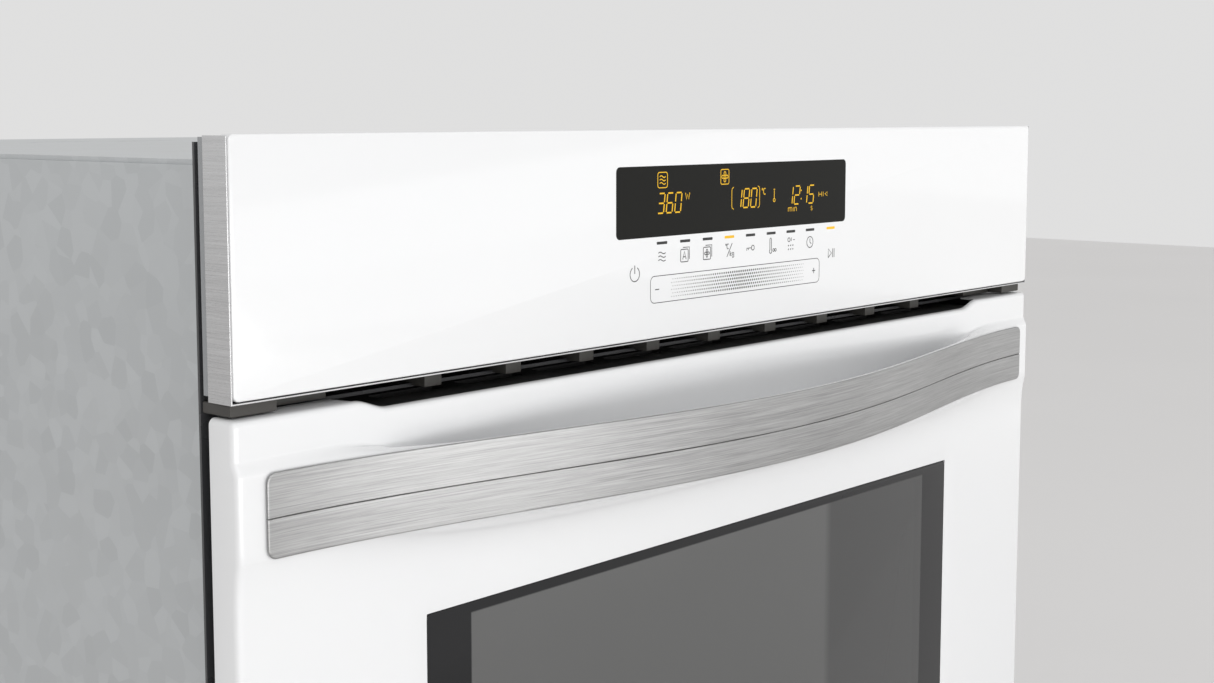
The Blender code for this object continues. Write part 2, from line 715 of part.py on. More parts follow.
def makeBlower():
    z0, z1 = BLOWER_Z
    centre = (0.0, BLOWER_Y)
    housing = rod("blower_housing", "Z", (*centre, z0), z1 - z0, BLOWER_RADIUS, "zincSheet", sides=36)
    inner = BLOWER_RADIUS - 1.5
    cut(housing, rod("blowerRoom", "Z", (*centre, z0 + 1.5), z1 - z0 - 3.0, inner, sides=36))
    cut(housing, rod("intakeHole", "Z", (*centre, z1 - BEYOND), 20.0, 44.0, sides=28))
    cut(housing, rod("blowerShaftHole", "Z", (*centre, z0 - BEYOND), 20.0, 7.0, sides=16))
    ys = (BLOWER_Y - BLOWER_RADIUS - BEYOND, BLOWER_Y - 50.0)
    cut(housing, box("blowerOutlet", (-48.0, 48.0), ys, (z0 + 4.0, z1 - 4.0)))

    rotor = rod("blower_rotor", "Z", (*centre, z0 + 5.0), 1.6, 60.0, "blackPlastic", sides=28)
    join(rotor, rod("rotorHub", "Z", (*centre, z0 + 5.2), 22.0, 12.0, sides=16))
    join(rotor, rod("rotorShaft", "Z", (*centre, z0 - 12.0), 30.0, 3.0, sides=12))
    blades = 12
    for k in range(blades):
        blade = box("rotorBlade", (34.0, 58.5), (-0.7, 0.7), (z0 + 5.4, z0 + 34.0))
        blade.data.transform(Matrix.Translation(blade.location))
        turn = Matrix.Rotation(2 * math.pi * k / blades, 4, "Z")
        blade.data.transform(Matrix.Translation((0.0, BLOWER_Y * MM, 0.0)) @ turn)
        blade.location = (0.0, 0.0, 0.0)
        join(rotor, blade)
    setOrigin(rotor, (*centre, z0))

    motor = rod("blower_motor", "Z", (*centre, 446.0), 42.0, 30.0, "greyPlastic", sides=24)
    cut(motor, rod("blowerBore", "Z", (*centre, 474.0), 20.0, 3.8, sides=12))


def makeAirDuct():
    # An open tapered channel from the blower to the slot over the door.
    shapes = (
        (GRILLE_REAR_Y + 0.8, 243.0, 493.4, 497.4),
        (-212.0, 240.0, 493.4, 500.0),
        (-190.0, 236.0, 489.0, 510.0),
        (-70.0, 100.0, 488.0, 526.0),
        (66.0, 52.0, 492.0, 530.0),
    )
    shape = bmesh.new()
    rings = []
    for y, half, low, high in shapes:
        corners = ((-half, low), (half, low), (half, high), (-half, high))
        rings.append([shape.verts.new(Vector((x, y, z)) * MM) for x, z in corners])
    for first, second in zip(rings, rings[1:]):
        for k in range(4):
            after = (k + 1) % 4
            shape.faces.new((first[k], first[after], second[after], second[k]))
    bmesh.ops.recalc_face_normals(shape, faces=shape.faces)
    mesh = bpy.data.meshes.new("air_duct")
    shape.to_mesh(mesh)
    shape.free()
    duct = bpy.data.objects.new("air_duct", mesh)
    parts.objects.link(duct)
    finish(duct, "air_duct", "zincSheet")
    shell = duct.modifiers.new("sheet", "SOLIDIFY")
    shell.thickness = 0.8 * MM
    shell.offset = 0.0


def makeTerminalBlock():
    block = box("terminal_block", (140.0, 220.0), (280.0, 303.0), (530.0, 560.0), "blackPlastic")
    for k in range(5):
        x = 148.0 + 16.0 * k
        cut(block, rod("terminal", "Y", (x, 292.0, 550.0), 20.0, 3.6, sides=12))
        cut(block, rod("terminal", "Y", (x, 292.0, 538.0), 20.0, 2.4, sides=12))


# ---- Control panel ----


def makePanel():
    half = FRONT_WIDTH / 2
    y = FRONT_Y
    outline = roundedOutline(
        (-half + TRIM + GAP, half - TRIM - GAP), (PANEL_BOTTOM + TRIM + 0.5, FRONT_TOP), 2.5
    )
    outlinePlate("control_panel_glass", outline, (y, y + GLASS_THICK), "whiteGlass")

    zs = (PANEL_BOTTOM, FRONT_TOP - 0.6)
    trim = box("panel_trim", (-half, half), (y + 0.4, y + 14.0), zs, "aluminiumTrim")
    inside = (PANEL_BOTTOM + TRIM, FRONT_TOP + BEYOND)
    cut(trim, box("trimInside", (-half + TRIM, half - TRIM), (y - BEYOND, y + 30.0), inside))

    xs = (-half + 2.1, half - 2.1)
    ys = (y + GLASS_THICK + 0.6, FLANGE_Y - 2.5)
    zs = (PANEL_BOTTOM + 1.7, FRONT_TOP - SHEET)
    carrier = box("panel_carrier", xs, ys, zs, "greyPlastic")
    hollow = (xs[0] + 2.0, xs[1] - 2.0)
    cut(carrier, box("carrierRoom", hollow, (ys[0] + 2.0, -230.0), (zs[0] + 2.0, zs[1] - 2.0)))
    hole = (DISPLAY_X[0] - 1.5, DISPLAY_X[1] + 1.5)
    cut(carrier, box("displayHole", hole, (-262.0, -250.0), (DISPLAY_Z[0] - 1.5, DISPLAY_Z[1] + 1.5)))

    ys = (y + GLASS_THICK + 0.4, y + 13.5)
    box("display_module", DISPLAY_X, ys, DISPLAY_Z, "blackPlastic")

    board = box("control_board", (-150.0, 150.0), (-249.9, -248.3), (507.0, 587.0), "boardGreen")
    for k in range(4):
        x = -120.0 + 66.0 * k
        join(board, box("chip", (x, x + 22.0), (-248.6, -245.4), (520.0, 536.0)))
    join(board, box("socket", (118.0, 144.0), (-248.6, -244.6), (566.0, 574.0)))


def makeVentGrille():
    # The outlet between the panel and the door: ribs, solid ends and a separate cheek on each side.
    low, high = EAR_TOP + 0.7, PANEL_BOTTOM - GAP
    ys = (GRILLE_Y, GRILLE_REAR_Y)
    cheekYs = (FRONT_Y + CHEEK_BACK, FLANGE_Y - SHEET - 0.4)
    grille = box("vent_grille", (-GRILLE_HALF, GRILLE_HALF), ys, (high - 1.0, high), "darkPlastic")
    for k in range(-4, 5):
        x = RIB_PITCH * k
        xs = (x - RIB_WIDTH / 2, x + RIB_WIDTH / 2)
        join(grille, box("rib", xs, (ys[0] + 0.01, ys[1] - 0.2), (low, high - 0.5)))
    for side in (-1, 1):
        xs = (side * VENT_END_X, side * (GRILLE_HALF - 0.1))
        join(grille, box("ventEnd", xs, (ys[0] + 0.02, ys[1] - 0.3), (low, high - 0.4)))
        xs = sorted((side * (GRILLE_HALF + GAP), side * CHEEK_END_X))
        outline = roundedOutline(xs, (low + 0.1, high - 0.1), 0.8, steps=3)
        outlinePlate(sideName("outlet_cheek", side), outline, cheekYs, "darkPlastic")


# ---- Hinges ----


def makeHinge(side):
    x = side * HINGE_X
    pivot = (x - 1.5, PIVOT_Y, PIVOT_Z)
    arm = rod(sideName("hinge_arm", side), "X", pivot, 3.0, 8.0, "zincSheet", sides=24)
    ys = (PIVOT_Y, -190.0)
    join(arm, box("armBar", (x - 1.49, x + 1.49), ys, (PIVOT_Z - 7.5, PIVOT_Z + 7.5)))
    pin = (x - 6.3, PIVOT_Y, PIVOT_Z)
    join(arm, rod("pin", "X", pin, 12.6, PIVOT_RADIUS, sides=16))

    ys = (-219.0, -120.0)
    xs = (x - 5.5, x + 5.5)
    receiver = box(sideName("hinge_receiver", side), xs, ys, (6.0, 36.0), "zincSheet")
    room = (x - 3.5, x + 3.5)
    cut(receiver, box("receiverRoom", room, (-230.0, -125.0), (8.0, 50.0)))

    ys = (-256.6, -240.0)
    channel = box(sideName("hinge_body", side), (x - 6.5, x + 6.5), ys, (12.8, 190.0), "zincSheet")
    room = (x - 4.5, x + 4.5)
    cut(channel, box("channelRoom", room, (-270.0, ys[1] - 2.0), (0.0, 200.0)))
    cut(channel, box("channelHeel", room, (-245.0, -230.0), (0.0, 32.0)))
    cut(channel, rod("pivotHole", "X", (x - 12.0, PIVOT_Y, PIVOT_Z), 24.0, PIVOT_RADIUS + 0.35, sides=16))
    setOrigin(channel, (x, PIVOT_Y, PIVOT_Z))

    start = (x, -249.0, 62.0)
    pull = rod(sideName("hinge_rod", side), "Z", start, 110.0, 2.5, "chromeWire", sides=12)
    join(pull, rod("rodHead", "Z", (x, -249.0, 160.0), 6.0, 4.0, sides=12))


def makeDoorSwitch(side):
    x, z = side * SWITCH_AT[0], SWITCH_AT[1]
    start = (x, INNER_GLASS_Y[1] + 0.4, z)
    plunger = rod(sideName("switch_plunger", side), "Y", start, 22.0, 3.0, "greyPlastic", sides=12)
    setOrigin(plunger, start)
    ys = (-219.0, -188.0)
    body = box(sideName("door_switch", side), (x - 8.0, x + 8.0), ys, (z - 9.0, z + 14.0), "blackPlastic")
    cut(body, rod("switchBore", "Y", (x, -230.0, z), 30.0, 3.5, sides=12))


# ---- Door ----


def bow(x):
    # How far the grip stands out of the door at x.
    wave = 0.5 + 0.5 * math.cos(math.pi * min(abs(x) / PLATE_HALF, 1.0))
    return BOW_REACH * wave**BOW_POWER


def smooth(t):
    return t * t * (3.0 - 2.0 * t)


def doorOutline(inset):
    half = FRONT_WIDTH / 2 - inset
    dip = half + inset - EAR_WIDTH
    points = []
    steps = 3
    corners = ((-1, DOOR_BOTTOM + inset, 270), (1, EAR_TOP - inset, 0))
    radius = max(CORNER - inset, 1.0)
    for sideZ, edge, start in corners:
        for step in range(steps + 1):
            angle = math.radians(start + 90 * step / steps)
            x = half - radius + radius * math.cos(angle)
            z = edge - sideZ * radius + radius * math.sin(angle)
            points.append((x, z))
    run = 5
    for step in range(run + 1):
        t = step / run
        z = EAR_TOP - inset - (EAR_TOP - DIP_TOP) * smooth(t)
        points.append((dip - DIP_RUN * t, z))
    return points + [(-x, z) for x, z in reversed(points)]


def gripStations(half, count):
    # Closer together where the bow turns.
    return [half * math.sin(math.pi / 2 * (2.0 * k / (count - 1) - 1.0)) for k in range(count)]


def flare(z, x):
    # How far the grip's underside stands out, nearly flat low down and steep under the plate.
    t = min(max((z - GRIP_BOTTOM) / (PLATE_Z[0] - GRIP_BOTTOM), 0.0), 1.0)
    return (bow(x) + PLATE_PROUD - PLATE_THICK - GAP) * t**FLARE_POWER


def flareHeights(low, high, count):
    # Closer together towards the top, where the underside is steep.
    return [high - (high - low) * (1.0 - k / (count - 1)) ** 2 for k in range(count)]


def makeDoorSkin():
    ys = (FRONT_Y, FRONT_Y + SKIN_DEPTH)
    skin = outlinePlate("door_skin", doorOutline(0.0), ys, "whiteEnamel")
    inside = outlinePlate("skinInside", doorOutline(SHEET), (FRONT_Y + SHEET, FRONT_Y + 40.0))
    cut(skin, inside)
    window = roundedOutline((-WINDOW_HALF, WINDOW_HALF), WINDOW_Z, CORNER, steps=3)
    cut(skin, outlinePlate("windowHole", window, (FRONT_Y - 20.0, FRONT_Y + 20.0)))
    for side in (-1, 1):
        x = side * HINGE_X
        ys = (FRONT_Y + SHEET, FRONT_Y + 40.0)
        cut(skin, box("skinSlot", (x - 7.5, x + 7.5), ys, (0.0, DOOR_BOTTOM + 10.0)))
    half = FRONT_WIDTH / 2 - EAR_WIDTH - DIP_RUN
    ys = (FRONT_Y + TOP_RETURN, FRONT_Y + 40.0)
    cut(skin, box("capRoom", (-half, half), ys, (DIP_TOP - 6.0, EAR_TOP)))


def makeDoorGrip():
    # The pressed grip that flares out of the skin, with a pocket for the fingers behind its lip.
    rings = []
    for x in gripStations(PLATE_HALF + GRIP_BORDER, 33):
        front = flare(PLATE_Z[0], x)
        ring = [(GAP, GRIP_BOTTOM)]
        heights = flareHeights(GRIP_BOTTOM + 2.0, PLATE_Z[0], 9)
        ring += [(max(flare(z, x), GRIP_EDGE), z) for z in heights]
        ring += [(front, LIP_TOP - 0.6), (front - 0.6, LIP_TOP), (GAP, LIP_TOP)]
        rings.append([(x, FRONT_Y - out, z) for out, z in ring])
    grip = loft("door_grip", rings, "whiteEnamel")

    rings = []
    above = LIP_TOP + BEYOND
    for x in gripStations(POCKET_HALF, 25):
        depth = max(flare(PLATE_Z[0], x) - LIP_THICK, 1.0)
        low = POCKET_BOTTOM + (LIP_TOP - POCKET_BOTTOM) * (abs(x) / POCKET_HALF) ** 6 * 0.9
        ring = [(-1.0, above), (-1.0, low + 4.0), (depth * 0.3, low), (depth * 0.8, low)]
        ring += [(depth, low + 5.0), (depth, above)]
        rings.append([(x, FRONT_Y - out, z) for out, z in ring])
    cut(grip, loft("pocket", rings))

    rings = []
    for x in gripStations(HOLLOW_HALF, 25):
        ring = [(-5.0, GRIP_BOTTOM + 8.0)]
        for z in flareHeights(GRIP_BOTTOM + 9.0, POCKET_BOTTOM - GRIP_WEB, 7):
            ring.append((max(flare(z - GRIP_WALL, x) - 0.6, -3.0), z))
        ring.append((-5.0, POCKET_BOTTOM - GRIP_WEB))
        rings.append([(x, FRONT_Y - out, z) for out, z in ring])
    cut(grip, loft("gripHollow", rings))


def makeHandlePlate():
    rings = []
    stations = gripStations(PLATE_HALF - PLATE_CORNER, 37)
    for k in (3, 2, 1, 0):
        turn = math.pi / 2 * k / 3
        extra = PLATE_CORNER * math.sin(turn)
        if k:
            stations.insert(0, -PLATE_HALF + PLATE_CORNER - extra)
            stations.append(PLATE_HALF - PLATE_CORNER + extra)
    for x in sorted(stations):
        over = max(abs(x) - PLATE_HALF + PLATE_CORNER, 0.0)
        cornerDrop = PLATE_CORNER - math.sqrt(max(PLATE_CORNER**2 - over**2, 0.0))
        low, high = PLATE_Z[0] + cornerDrop, PLATE_Z[1] - cornerDrop
        front = bow(x) + PLATE_PROUD
        rear = front - PLATE_THICK
        groove = front - GROOVE_DEPTH
        ring = [(rear, low), (front, low), (front, GROOVE_Z - GROOVE_WIDTH / 2)]
        ring += [(groove, GROOVE_Z - 0.2), (groove, GROOVE_Z + 0.2)]
        ring += [(front, GROOVE_Z + GROOVE_WIDTH / 2), (front, high), (rear, high)]
        rings.append([(x, FRONT_Y - out, z) for out, z in ring])
    loft("handle_plate", rings, "brushedSteel")


def makeDoorGlass():
    y = FRONT_Y + SHEET + GAP
    zs = (WINDOW_Z[0] - 8.0, WINDOW_Z[1] + 2.0)
    box("door_outer_glass", (-212.0, 212.0), (y, y + 4.0), zs, "tintedGlass")
    inner = FRAME_HALF - FRAME_RAIL - SHEET
    zs = (FRAME_Z[0] + FRAME_RAIL_BOTTOM + SHEET, FRAME_Z[1] - FRAME_RAIL_TOP - SHEET)
    box("door_middle_glass", (-inner, inner), (-246.0, -242.0), zs, "clearGlass")
    half = FRAME_HALF - 1.0
    outline = roundedOutline((-half, half), (28.0, 480.0), 6.0, steps=3)
    outlinePlate("door_inner_glass", outline, INNER_GLASS_Y, "tintedGlass")


def makeDoorFrame():
    # A folded channel around the panes, open towards the skin.
    xs = (-FRAME_HALF, FRAME_HALF)
    frame = box("door_inner_frame", xs, FRAME_Y, FRAME_Z, "darkEnamel")
    inner = FRAME_HALF - FRAME_RAIL
    hole = (FRAME_Z[0] + FRAME_RAIL_BOTTOM, FRAME_Z[1] - FRAME_RAIL_TOP)
    cut(frame, box("frameHole", (-inner, inner), (-270.0, -220.0), hole))
    front, back = -270.0, FRAME_Y[1] - SHEET
    near, far = inner + SHEET, FRAME_HALF - SHEET
    full = (FRAME_Z[0] + SHEET, FRAME_Z[1] - SHEET)
    for side in (-1, 1):
        cut(frame, box("groove", (side * near, side * far), (front, back), full))
    cut(frame, box("groove", (-far, far), (front, back), (full[0], hole[0] - SHEET)))
    cut(frame, box("groove", (-far, far), (front, back), (hole[1] + SHEET, full[1])))
    for side in (-1, 1):
        x = side * HINGE_X
        cut(frame, box("hingeSlot", (x - 7.5, x + 7.5), (-270.0, -220.0), (0.0, 31.0)))

    # The dark cap closes the door's top behind the dip in the skin.
    half = FRONT_WIDTH / 2 - EAR_WIDTH - DIP_RUN - GAP
    ys = (FRONT_Y + TOP_RETURN + GAP, FRAME_Y[1] - GAP)
    cap = box("door_top_cap", (-half, half), ys, (FRAME_Z[1] + 0.4, DIP_TOP), "darkPlastic")
    for k in range(-4, 5):
        x = 48.0 * k
        zs = (FRAME_Z[1] - BEYOND, EAR_TOP)
        cut(cap, box("capSlot", (x - 18.0, x + 18.0), (-243.0, -235.0), zs))


clearScene()
parts = makeCollection("wall_oven")
cutters = makeCollection("wall_oven_cutters")
makeMaterials()
makeBasePlate()
makeTopCover()
makeRearCover()
makeFrontFrame()
makeCavityLiner()
makeInsulation()
makeDoorSeal()
makeFanCover()
makeHeaters()
makeFan()
makeFanMotor()
makeLamp()
makeWireShelf()
makeBakingTray()
makeWaveguide()
makeStirrer()
makeMagnetron()
makeInverter()
makeBlower()
makeAirDuct()
makeTerminalBlock()
makePanel()
makeVentGrille()
makeDoorSkin()
makeDoorGrip()
makeHandlePlate()
makeDoorGlass()
makeDoorFrame()
for side in (-1, 1):
    makeSidePanel(side)
    makeSideRack(side)
    makeHinge(side)
    makeDoorSwitch(side)
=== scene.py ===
import json
import math

import bmesh
import bpy
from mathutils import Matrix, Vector


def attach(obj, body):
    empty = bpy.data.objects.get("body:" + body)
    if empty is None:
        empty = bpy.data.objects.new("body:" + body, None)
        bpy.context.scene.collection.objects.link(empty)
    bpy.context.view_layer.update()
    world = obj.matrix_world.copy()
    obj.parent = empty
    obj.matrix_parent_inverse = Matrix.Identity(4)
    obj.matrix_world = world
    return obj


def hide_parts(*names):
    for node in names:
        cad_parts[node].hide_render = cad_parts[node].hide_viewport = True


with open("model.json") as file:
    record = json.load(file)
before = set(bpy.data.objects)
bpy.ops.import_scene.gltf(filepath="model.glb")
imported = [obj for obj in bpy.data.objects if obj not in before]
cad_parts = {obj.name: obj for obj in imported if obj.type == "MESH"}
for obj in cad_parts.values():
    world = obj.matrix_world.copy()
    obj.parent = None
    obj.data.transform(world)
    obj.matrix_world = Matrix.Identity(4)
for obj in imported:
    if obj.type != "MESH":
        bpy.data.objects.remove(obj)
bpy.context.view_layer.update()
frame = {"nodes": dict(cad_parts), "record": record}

mm = 0.001
nodes = frame["nodes"]
print("frame loaded")


# ---- helpers for pieces ----
def deselectAll():
    if bpy.context.object and bpy.context.object.mode != "OBJECT":
        bpy.ops.object.mode_set(mode="OBJECT")
    bpy.ops.object.select_all(action="DESELECT")


def activate(obj):
    deselectAll()
    obj.select_set(True)
    bpy.context.view_layer.objects.active = obj


def settle(obj, name):
    # the place of a finished piece is in its mesh
    activate(obj)
    bpy.ops.object.transform_apply(location=True, rotation=True, scale=True)
    obj.name = name
    obj.data.name = name
    return obj


def applyModifier(obj, kind, **values):
    activate(obj)
    change = obj.modifiers.new(kind.lower(), kind)
    for key, value in values.items():
        setattr(change, key, value)
    bpy.ops.object.modifier_apply(modifier=change.name)


def bevelEdges(obj, width, segments, angle):
    limit = {"limit_method": "ANGLE", "angle_limit": math.radians(angle)}
    applyModifier(obj, "BEVEL", width=width * mm, segments=segments, **limit)


def smoothShade(obj, angle=40):
    activate(obj)
    bpy.ops.object.shade_smooth_by_angle(angle=math.radians(angle))


def roundedBox(name, low, high, edge=0.0, segments=3):
    low, high = Vector(low), Vector(high)
    deselectAll()
    bpy.ops.mesh.primitive_cube_add(size=1, location=(low + high) / 2, scale=high - low)
    obj = bpy.context.object
    bpy.ops.object.transform_apply(location=True, rotation=True, scale=True)
    if edge:
        bpy.ops.object.mode_set(mode="EDIT")
        bpy.ops.mesh.select_all(action="SELECT")
        bpy.ops.mesh.bevel(offset=edge, segments=segments, affect="EDGES")
        bpy.ops.object.mode_set(mode="OBJECT")
    smoothShade(obj)
    return settle(obj, name)


def wire(name, paths, radius, closed=False, resolution=3, flat=1.0):
    # round strokes through the given points, flattened along Y for print
    curve = bpy.data.curves.new(name, "CURVE")
    curve.dimensions = "3D"
    curve.bevel_depth = radius
    curve.bevel_resolution = resolution
    curve.use_fill_caps = True
    for points in paths:
        spline = curve.splines.new("POLY")
        spline.points.add(len(points) - 1)
        for place, point in zip(spline.points, points):
            place.co = (*point, 1.0)
        spline.use_cyclic_u = closed
    obj = bpy.data.objects.new(name, curve)
    bpy.context.scene.collection.objects.link(obj)
    activate(obj)
    bpy.ops.object.convert(target="MESH")
    obj = bpy.context.object
    if flat != 1.0:
        middle = sum(p[1] for points in paths for p in points) / sum(len(points) for points in paths)
        for vertex in obj.data.vertices:
            vertex.co.y = middle + (vertex.co.y - middle) * flat
    smoothShade(obj, 50)
    return settle(obj, name)


def joinPieces(pieces, name):
    deselectAll()
    for piece in pieces:
        piece.select_set(True)
    bpy.context.view_layer.objects.active = pieces[0]
    if len(pieces) > 1:
        bpy.ops.object.join()
    obj = bpy.context.object
    obj.name = name
    obj.data.name = name
    return obj


def give(obj, material, body, replaced=()):
    obj.data.materials.clear()
    obj.data.materials.append(material)
    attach(obj, body)
    if replaced:
        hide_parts(*replaced)
    return obj


def spaced(stops):
    # positions from stops of (place, steps from the one before)
    places = [stops[0][0]]
    for (start, _), (end, steps) in zip(stops, stops[1:]):
        places += [start + (end - start) * k / steps for k in range(1, steps + 1)]
    return places


def smooth(t):
    t = min(max(t, 0.0), 1.0)
    return t * t * (3 - 2 * t)


# ---- node groups that several finishes share ----
def newGroup(name, inputs, outputs):
    group = bpy.data.node_groups.new(name, "ShaderNodeTree")
    for label, kind, value in inputs:
        socket = group.interface.new_socket(label, in_out="INPUT", socket_type=kind)
        if value is not None:
            socket.default_value = value
    for label, kind in outputs:
        group.interface.new_socket(label, in_out="OUTPUT", socket_type=kind)
    into = group.nodes.new("NodeGroupInput")
    out = group.nodes.new("NodeGroupOutput")
    return group, into, out


def addNode(tree, kind, **values):
    node = tree.nodes.new(kind)
    for key, value in values.items():
        setattr(node, key, value)
    return node


def mathNode(tree, operation, a, b=None):
    node = addNode(tree, "ShaderNodeMath", operation=operation)
    for slotNumber, value in enumerate((a, b)):
        if value is None:
            continue
        if isinstance(value, (int, float)):
            node.inputs[slotNumber].default_value = value
        else:
            tree.links.new(value, node.inputs[slotNumber])
    return node.outputs[0]


def mixColour(tree, factor, a, b, blend="MIX"):
    node = addNode(tree, "ShaderNodeMix", data_type="RGBA", blend_type=blend)
    for label, value in (("Factor", factor), ("A", a), ("B", b)):
        socket = next(s for s in node.inputs if s.name == label and s.enabled)
        if isinstance(value, (int, float)):
            socket.default_value = value
        elif isinstance(value, tuple):
            socket.default_value = (*value, 1.0)
        else:
            tree.links.new(value, socket)
    return next(s for s in node.outputs if s.enabled)


def noise(tree, vector, scale, detail=3.0, roughness=0.5):
    node = addNode(tree, "ShaderNodeTexNoise")
    node.inputs["Scale"].default_value = scale
    node.inputs["Detail"].default_value = detail
    node.inputs["Roughness"].default_value = roughness
    tree.links.new(vector, node.inputs["Vector"])
    return node.outputs["Fac"]


def ramp(tree, factor, low, high, toLow=0.0, toHigh=1.0):
    node = addNode(tree, "ShaderNodeMapRange")
    node.inputs["From Min"].default_value = low
    node.inputs["From Max"].default_value = high
    node.inputs["To Min"].default_value = toLow
    node.inputs["To Max"].default_value = toHigh
    tree.links.new(factor, node.inputs["Value"])
    return node.outputs["Result"]


def stretched(tree, vector, scale):
    node = addNode(tree, "ShaderNodeMapping")
    node.inputs["Scale"].default_value = scale
    tree.links.new(vector, node.inputs["Vector"])
    return node.outputs["Vector"]


def makeGrainGroup():
    # fine surface grain: a slow tone, a fine height and a roughness change
    group, into, out = newGroup(
        "fineGrain",
        [("Vector", "NodeSocketVector", None), ("Size", "NodeSocketFloat", 400.0)],
        [("Tone", "NodeSocketFloat"), ("Height", "NodeSocketFloat"), ("Smear", "NodeSocketFloat")],
    )
    fine = addNode(group, "ShaderNodeTexNoise")
    fine.inputs["Detail"].default_value = 4.0
    group.links.new(into.outputs["Vector"], fine.inputs["Vector"])
    group.links.new(into.outputs["Size"], fine.inputs["Scale"])
    slow = noise(group, into.outputs["Vector"], 3.1, 3.0)
    smear = noise(group, into.outputs["Vector"], 14.0, 5.0, 0.6)
    group.links.new(slow, out.inputs["Tone"])
    group.links.new(fine.outputs["Fac"], out.inputs["Height"])
    group.links.new(smear, out.inputs["Smear"])
    return group


def makeBrushGroup():
    # brushing along X: long streaks of tone and height
    group, into, out = newGroup(
        "brushing",
        [("Vector", "NodeSocketVector", None)],
        [("Tone", "NodeSocketFloat"), ("Height", "NodeSocketFloat")],
    )
    long = noise(group, stretched(group, into.outputs["Vector"], (14.0, 14.0, 1700.0)), 1.0, 4.0, 0.6)
    short = noise(group, stretched(group, into.outputs["Vector"], (45.0, 45.0, 3400.0)), 1.0, 3.0, 0.7)
    mixed = mathNode(
        group, "ADD", mathNode(group, "MULTIPLY", long, 0.5), mathNode(group, "MULTIPLY", short, 0.5)
    )
    group.links.new(mixed, out.inputs["Tone"])
    group.links.new(short, out.inputs["Height"])
    return group


def makeDustGroup():
    # faint dust and finger smears, thicker on faces that look up
    group, into, out = newGroup(
        "lightDust",
        [("Vector", "NodeSocketVector", None), ("Amount", "NodeSocketFloat", 0.2)],
        [("Mask", "NodeSocketFloat")],
    )
    geometry = addNode(group, "ShaderNodeNewGeometry")
    split = addNode(group, "ShaderNodeSeparateXYZ")
    group.links.new(geometry.outputs["Normal"], split.inputs[0])
    up = ramp(group, split.outputs["Z"], 0.2, 1.0, 0.25, 1.0)
    cloud = ramp(group, noise(group, into.outputs["Vector"], 26.0, 6.0, 0.65), 0.42, 0.75)
    mask = mathNode(group, "MULTIPLY", mathNode(group, "MULTIPLY", up, cloud), into.outputs["Amount"])
    group.links.new(mask, out.inputs["Mask"])
    return group


grainGroup = makeGrainGroup()
brushGroup = makeBrushGroup()
dustGroup = makeDustGroup()


def startMaterial(name, values):
    material = bpy.data.materials.new(name)
    material.use_nodes = True
    tree = material.node_tree
    shader = tree.nodes["Principled BSDF"]
    for label, value in values.items():
        shader.inputs[label].default_value = value
    place = addNode(tree, "ShaderNodeTexCoord").outputs["Object"]
    return material, tree, shader, place


def placeGroup(tree, group, place, **values):
    node = addNode(tree, "ShaderNodeGroup", node_tree=group)
    tree.links.new(place, node.inputs["Vector"])
    for label, value in values.items():
        node.inputs[label].default_value = value
    return node


def addBump(tree, shader, height, strength, distance):
    bump = addNode(tree, "ShaderNodeBump")
    bump.inputs["Strength"].default_value = strength
    bump.inputs["Distance"].default_value = distance
    tree.links.new(height, bump.inputs["Height"])
    tree.links.new(bump.outputs["Normal"], shader.inputs["Normal"])


def plainFinish(
    name, colour, shade, roughness, metallic=0.0, grain=400.0, bump=0.1, depth=0.0002, dust=0.04, **extra
):
    # a painted, moulded or metal surface: slow tone change, fine grain and a little dust
    values = {"Metallic": metallic, **extra}
    material, tree, shader, place = startMaterial(name, values)
    fine = placeGroup(tree, grainGroup, place, Size=grain)
    tone = mixColour(tree, ramp(tree, fine.outputs["Tone"], 0.3, 0.7), colour, shade)
    dusty = placeGroup(tree, dustGroup, place, Amount=dust)
    tone = mixColour(tree, dusty.outputs["Mask"], tone, (0.55, 0.53, 0.50))
    tree.links.new(tone, shader.inputs["Base Color"])
    low, high = roughness
    rough = ramp(tree, fine.outputs["Smear"], 0.3, 0.7, low, high)
    tree.links.new(rough, shader.inputs["Roughness"])
    addBump(tree, shader, fine.outputs["Height"], bump, depth)
    return material


whiteEnamel = plainFinish(
    "whiteEnamel", (0.80, 0.805, 0.81), (0.775, 0.78, 0.79), (0.16, 0.24), grain=900.0, bump=0.05,
    dust=0.03, **{"Coat Weight": 0.5, "Coat Roughness": 0.06},
)
print("shared finishes made")


# ---- the door's white front, one sheet that flares out into the grip ----
front = {
    "outer": 264.0,
    "halfWidth": 297.5,
    "bottom": 11.0,
    "earTop": 493.0,
    "dipTop": 489.0,
    "earWidth": 58.0,
    "dipRun": 17.0,
    "edgeRound": 2.6,
    "windowHalf": 204.5,
    "windowBottom": 100.0,
    "windowTop": 402.0,
    "windowRound": 3.0,
    "windowRoll": 12.0,
    "rollDepth": 0.8,
    "gripBottom": 405.0,
    "flarePower": 5,
    "plateBottom": 440.9,
    "seatProud": 2.0,
    "lipStart": 471.4,
    "lipThick": 3.4,
    "lipRise": 1.2,
    "openRun": 12.0,
    "shallow": 14.0,
    "floorRound": 7.0,
    "scoop": 4.6,
    "topReturn": -261.0,
    "pocketFloor": 446.0,
    "bowReach": 38.5,
    "bowHalf": 285.4,
    "bowPower": 0.86,
    "backY": -250.0,
    "sheet": 1.0,
    "hingeX": 252.5,
    "armSlotHalf": 7.5,
    "armSlotYs": (-260.8, -249.0),
    "armSlotZs": (9.0, 13.5),
}


def bow(x):
    wave = 0.5 + 0.5 * math.cos(math.pi * min(abs(x) / front["bowHalf"], 1.0))
    return front["bowReach"] * wave ** front["bowPower"]


def doorTop(x):
    start = front["halfWidth"] - front["earWidth"]
    inward = smooth((start - abs(x)) / front["dipRun"])
    return front["earTop"] - (front["earTop"] - front["dipTop"]) * inward


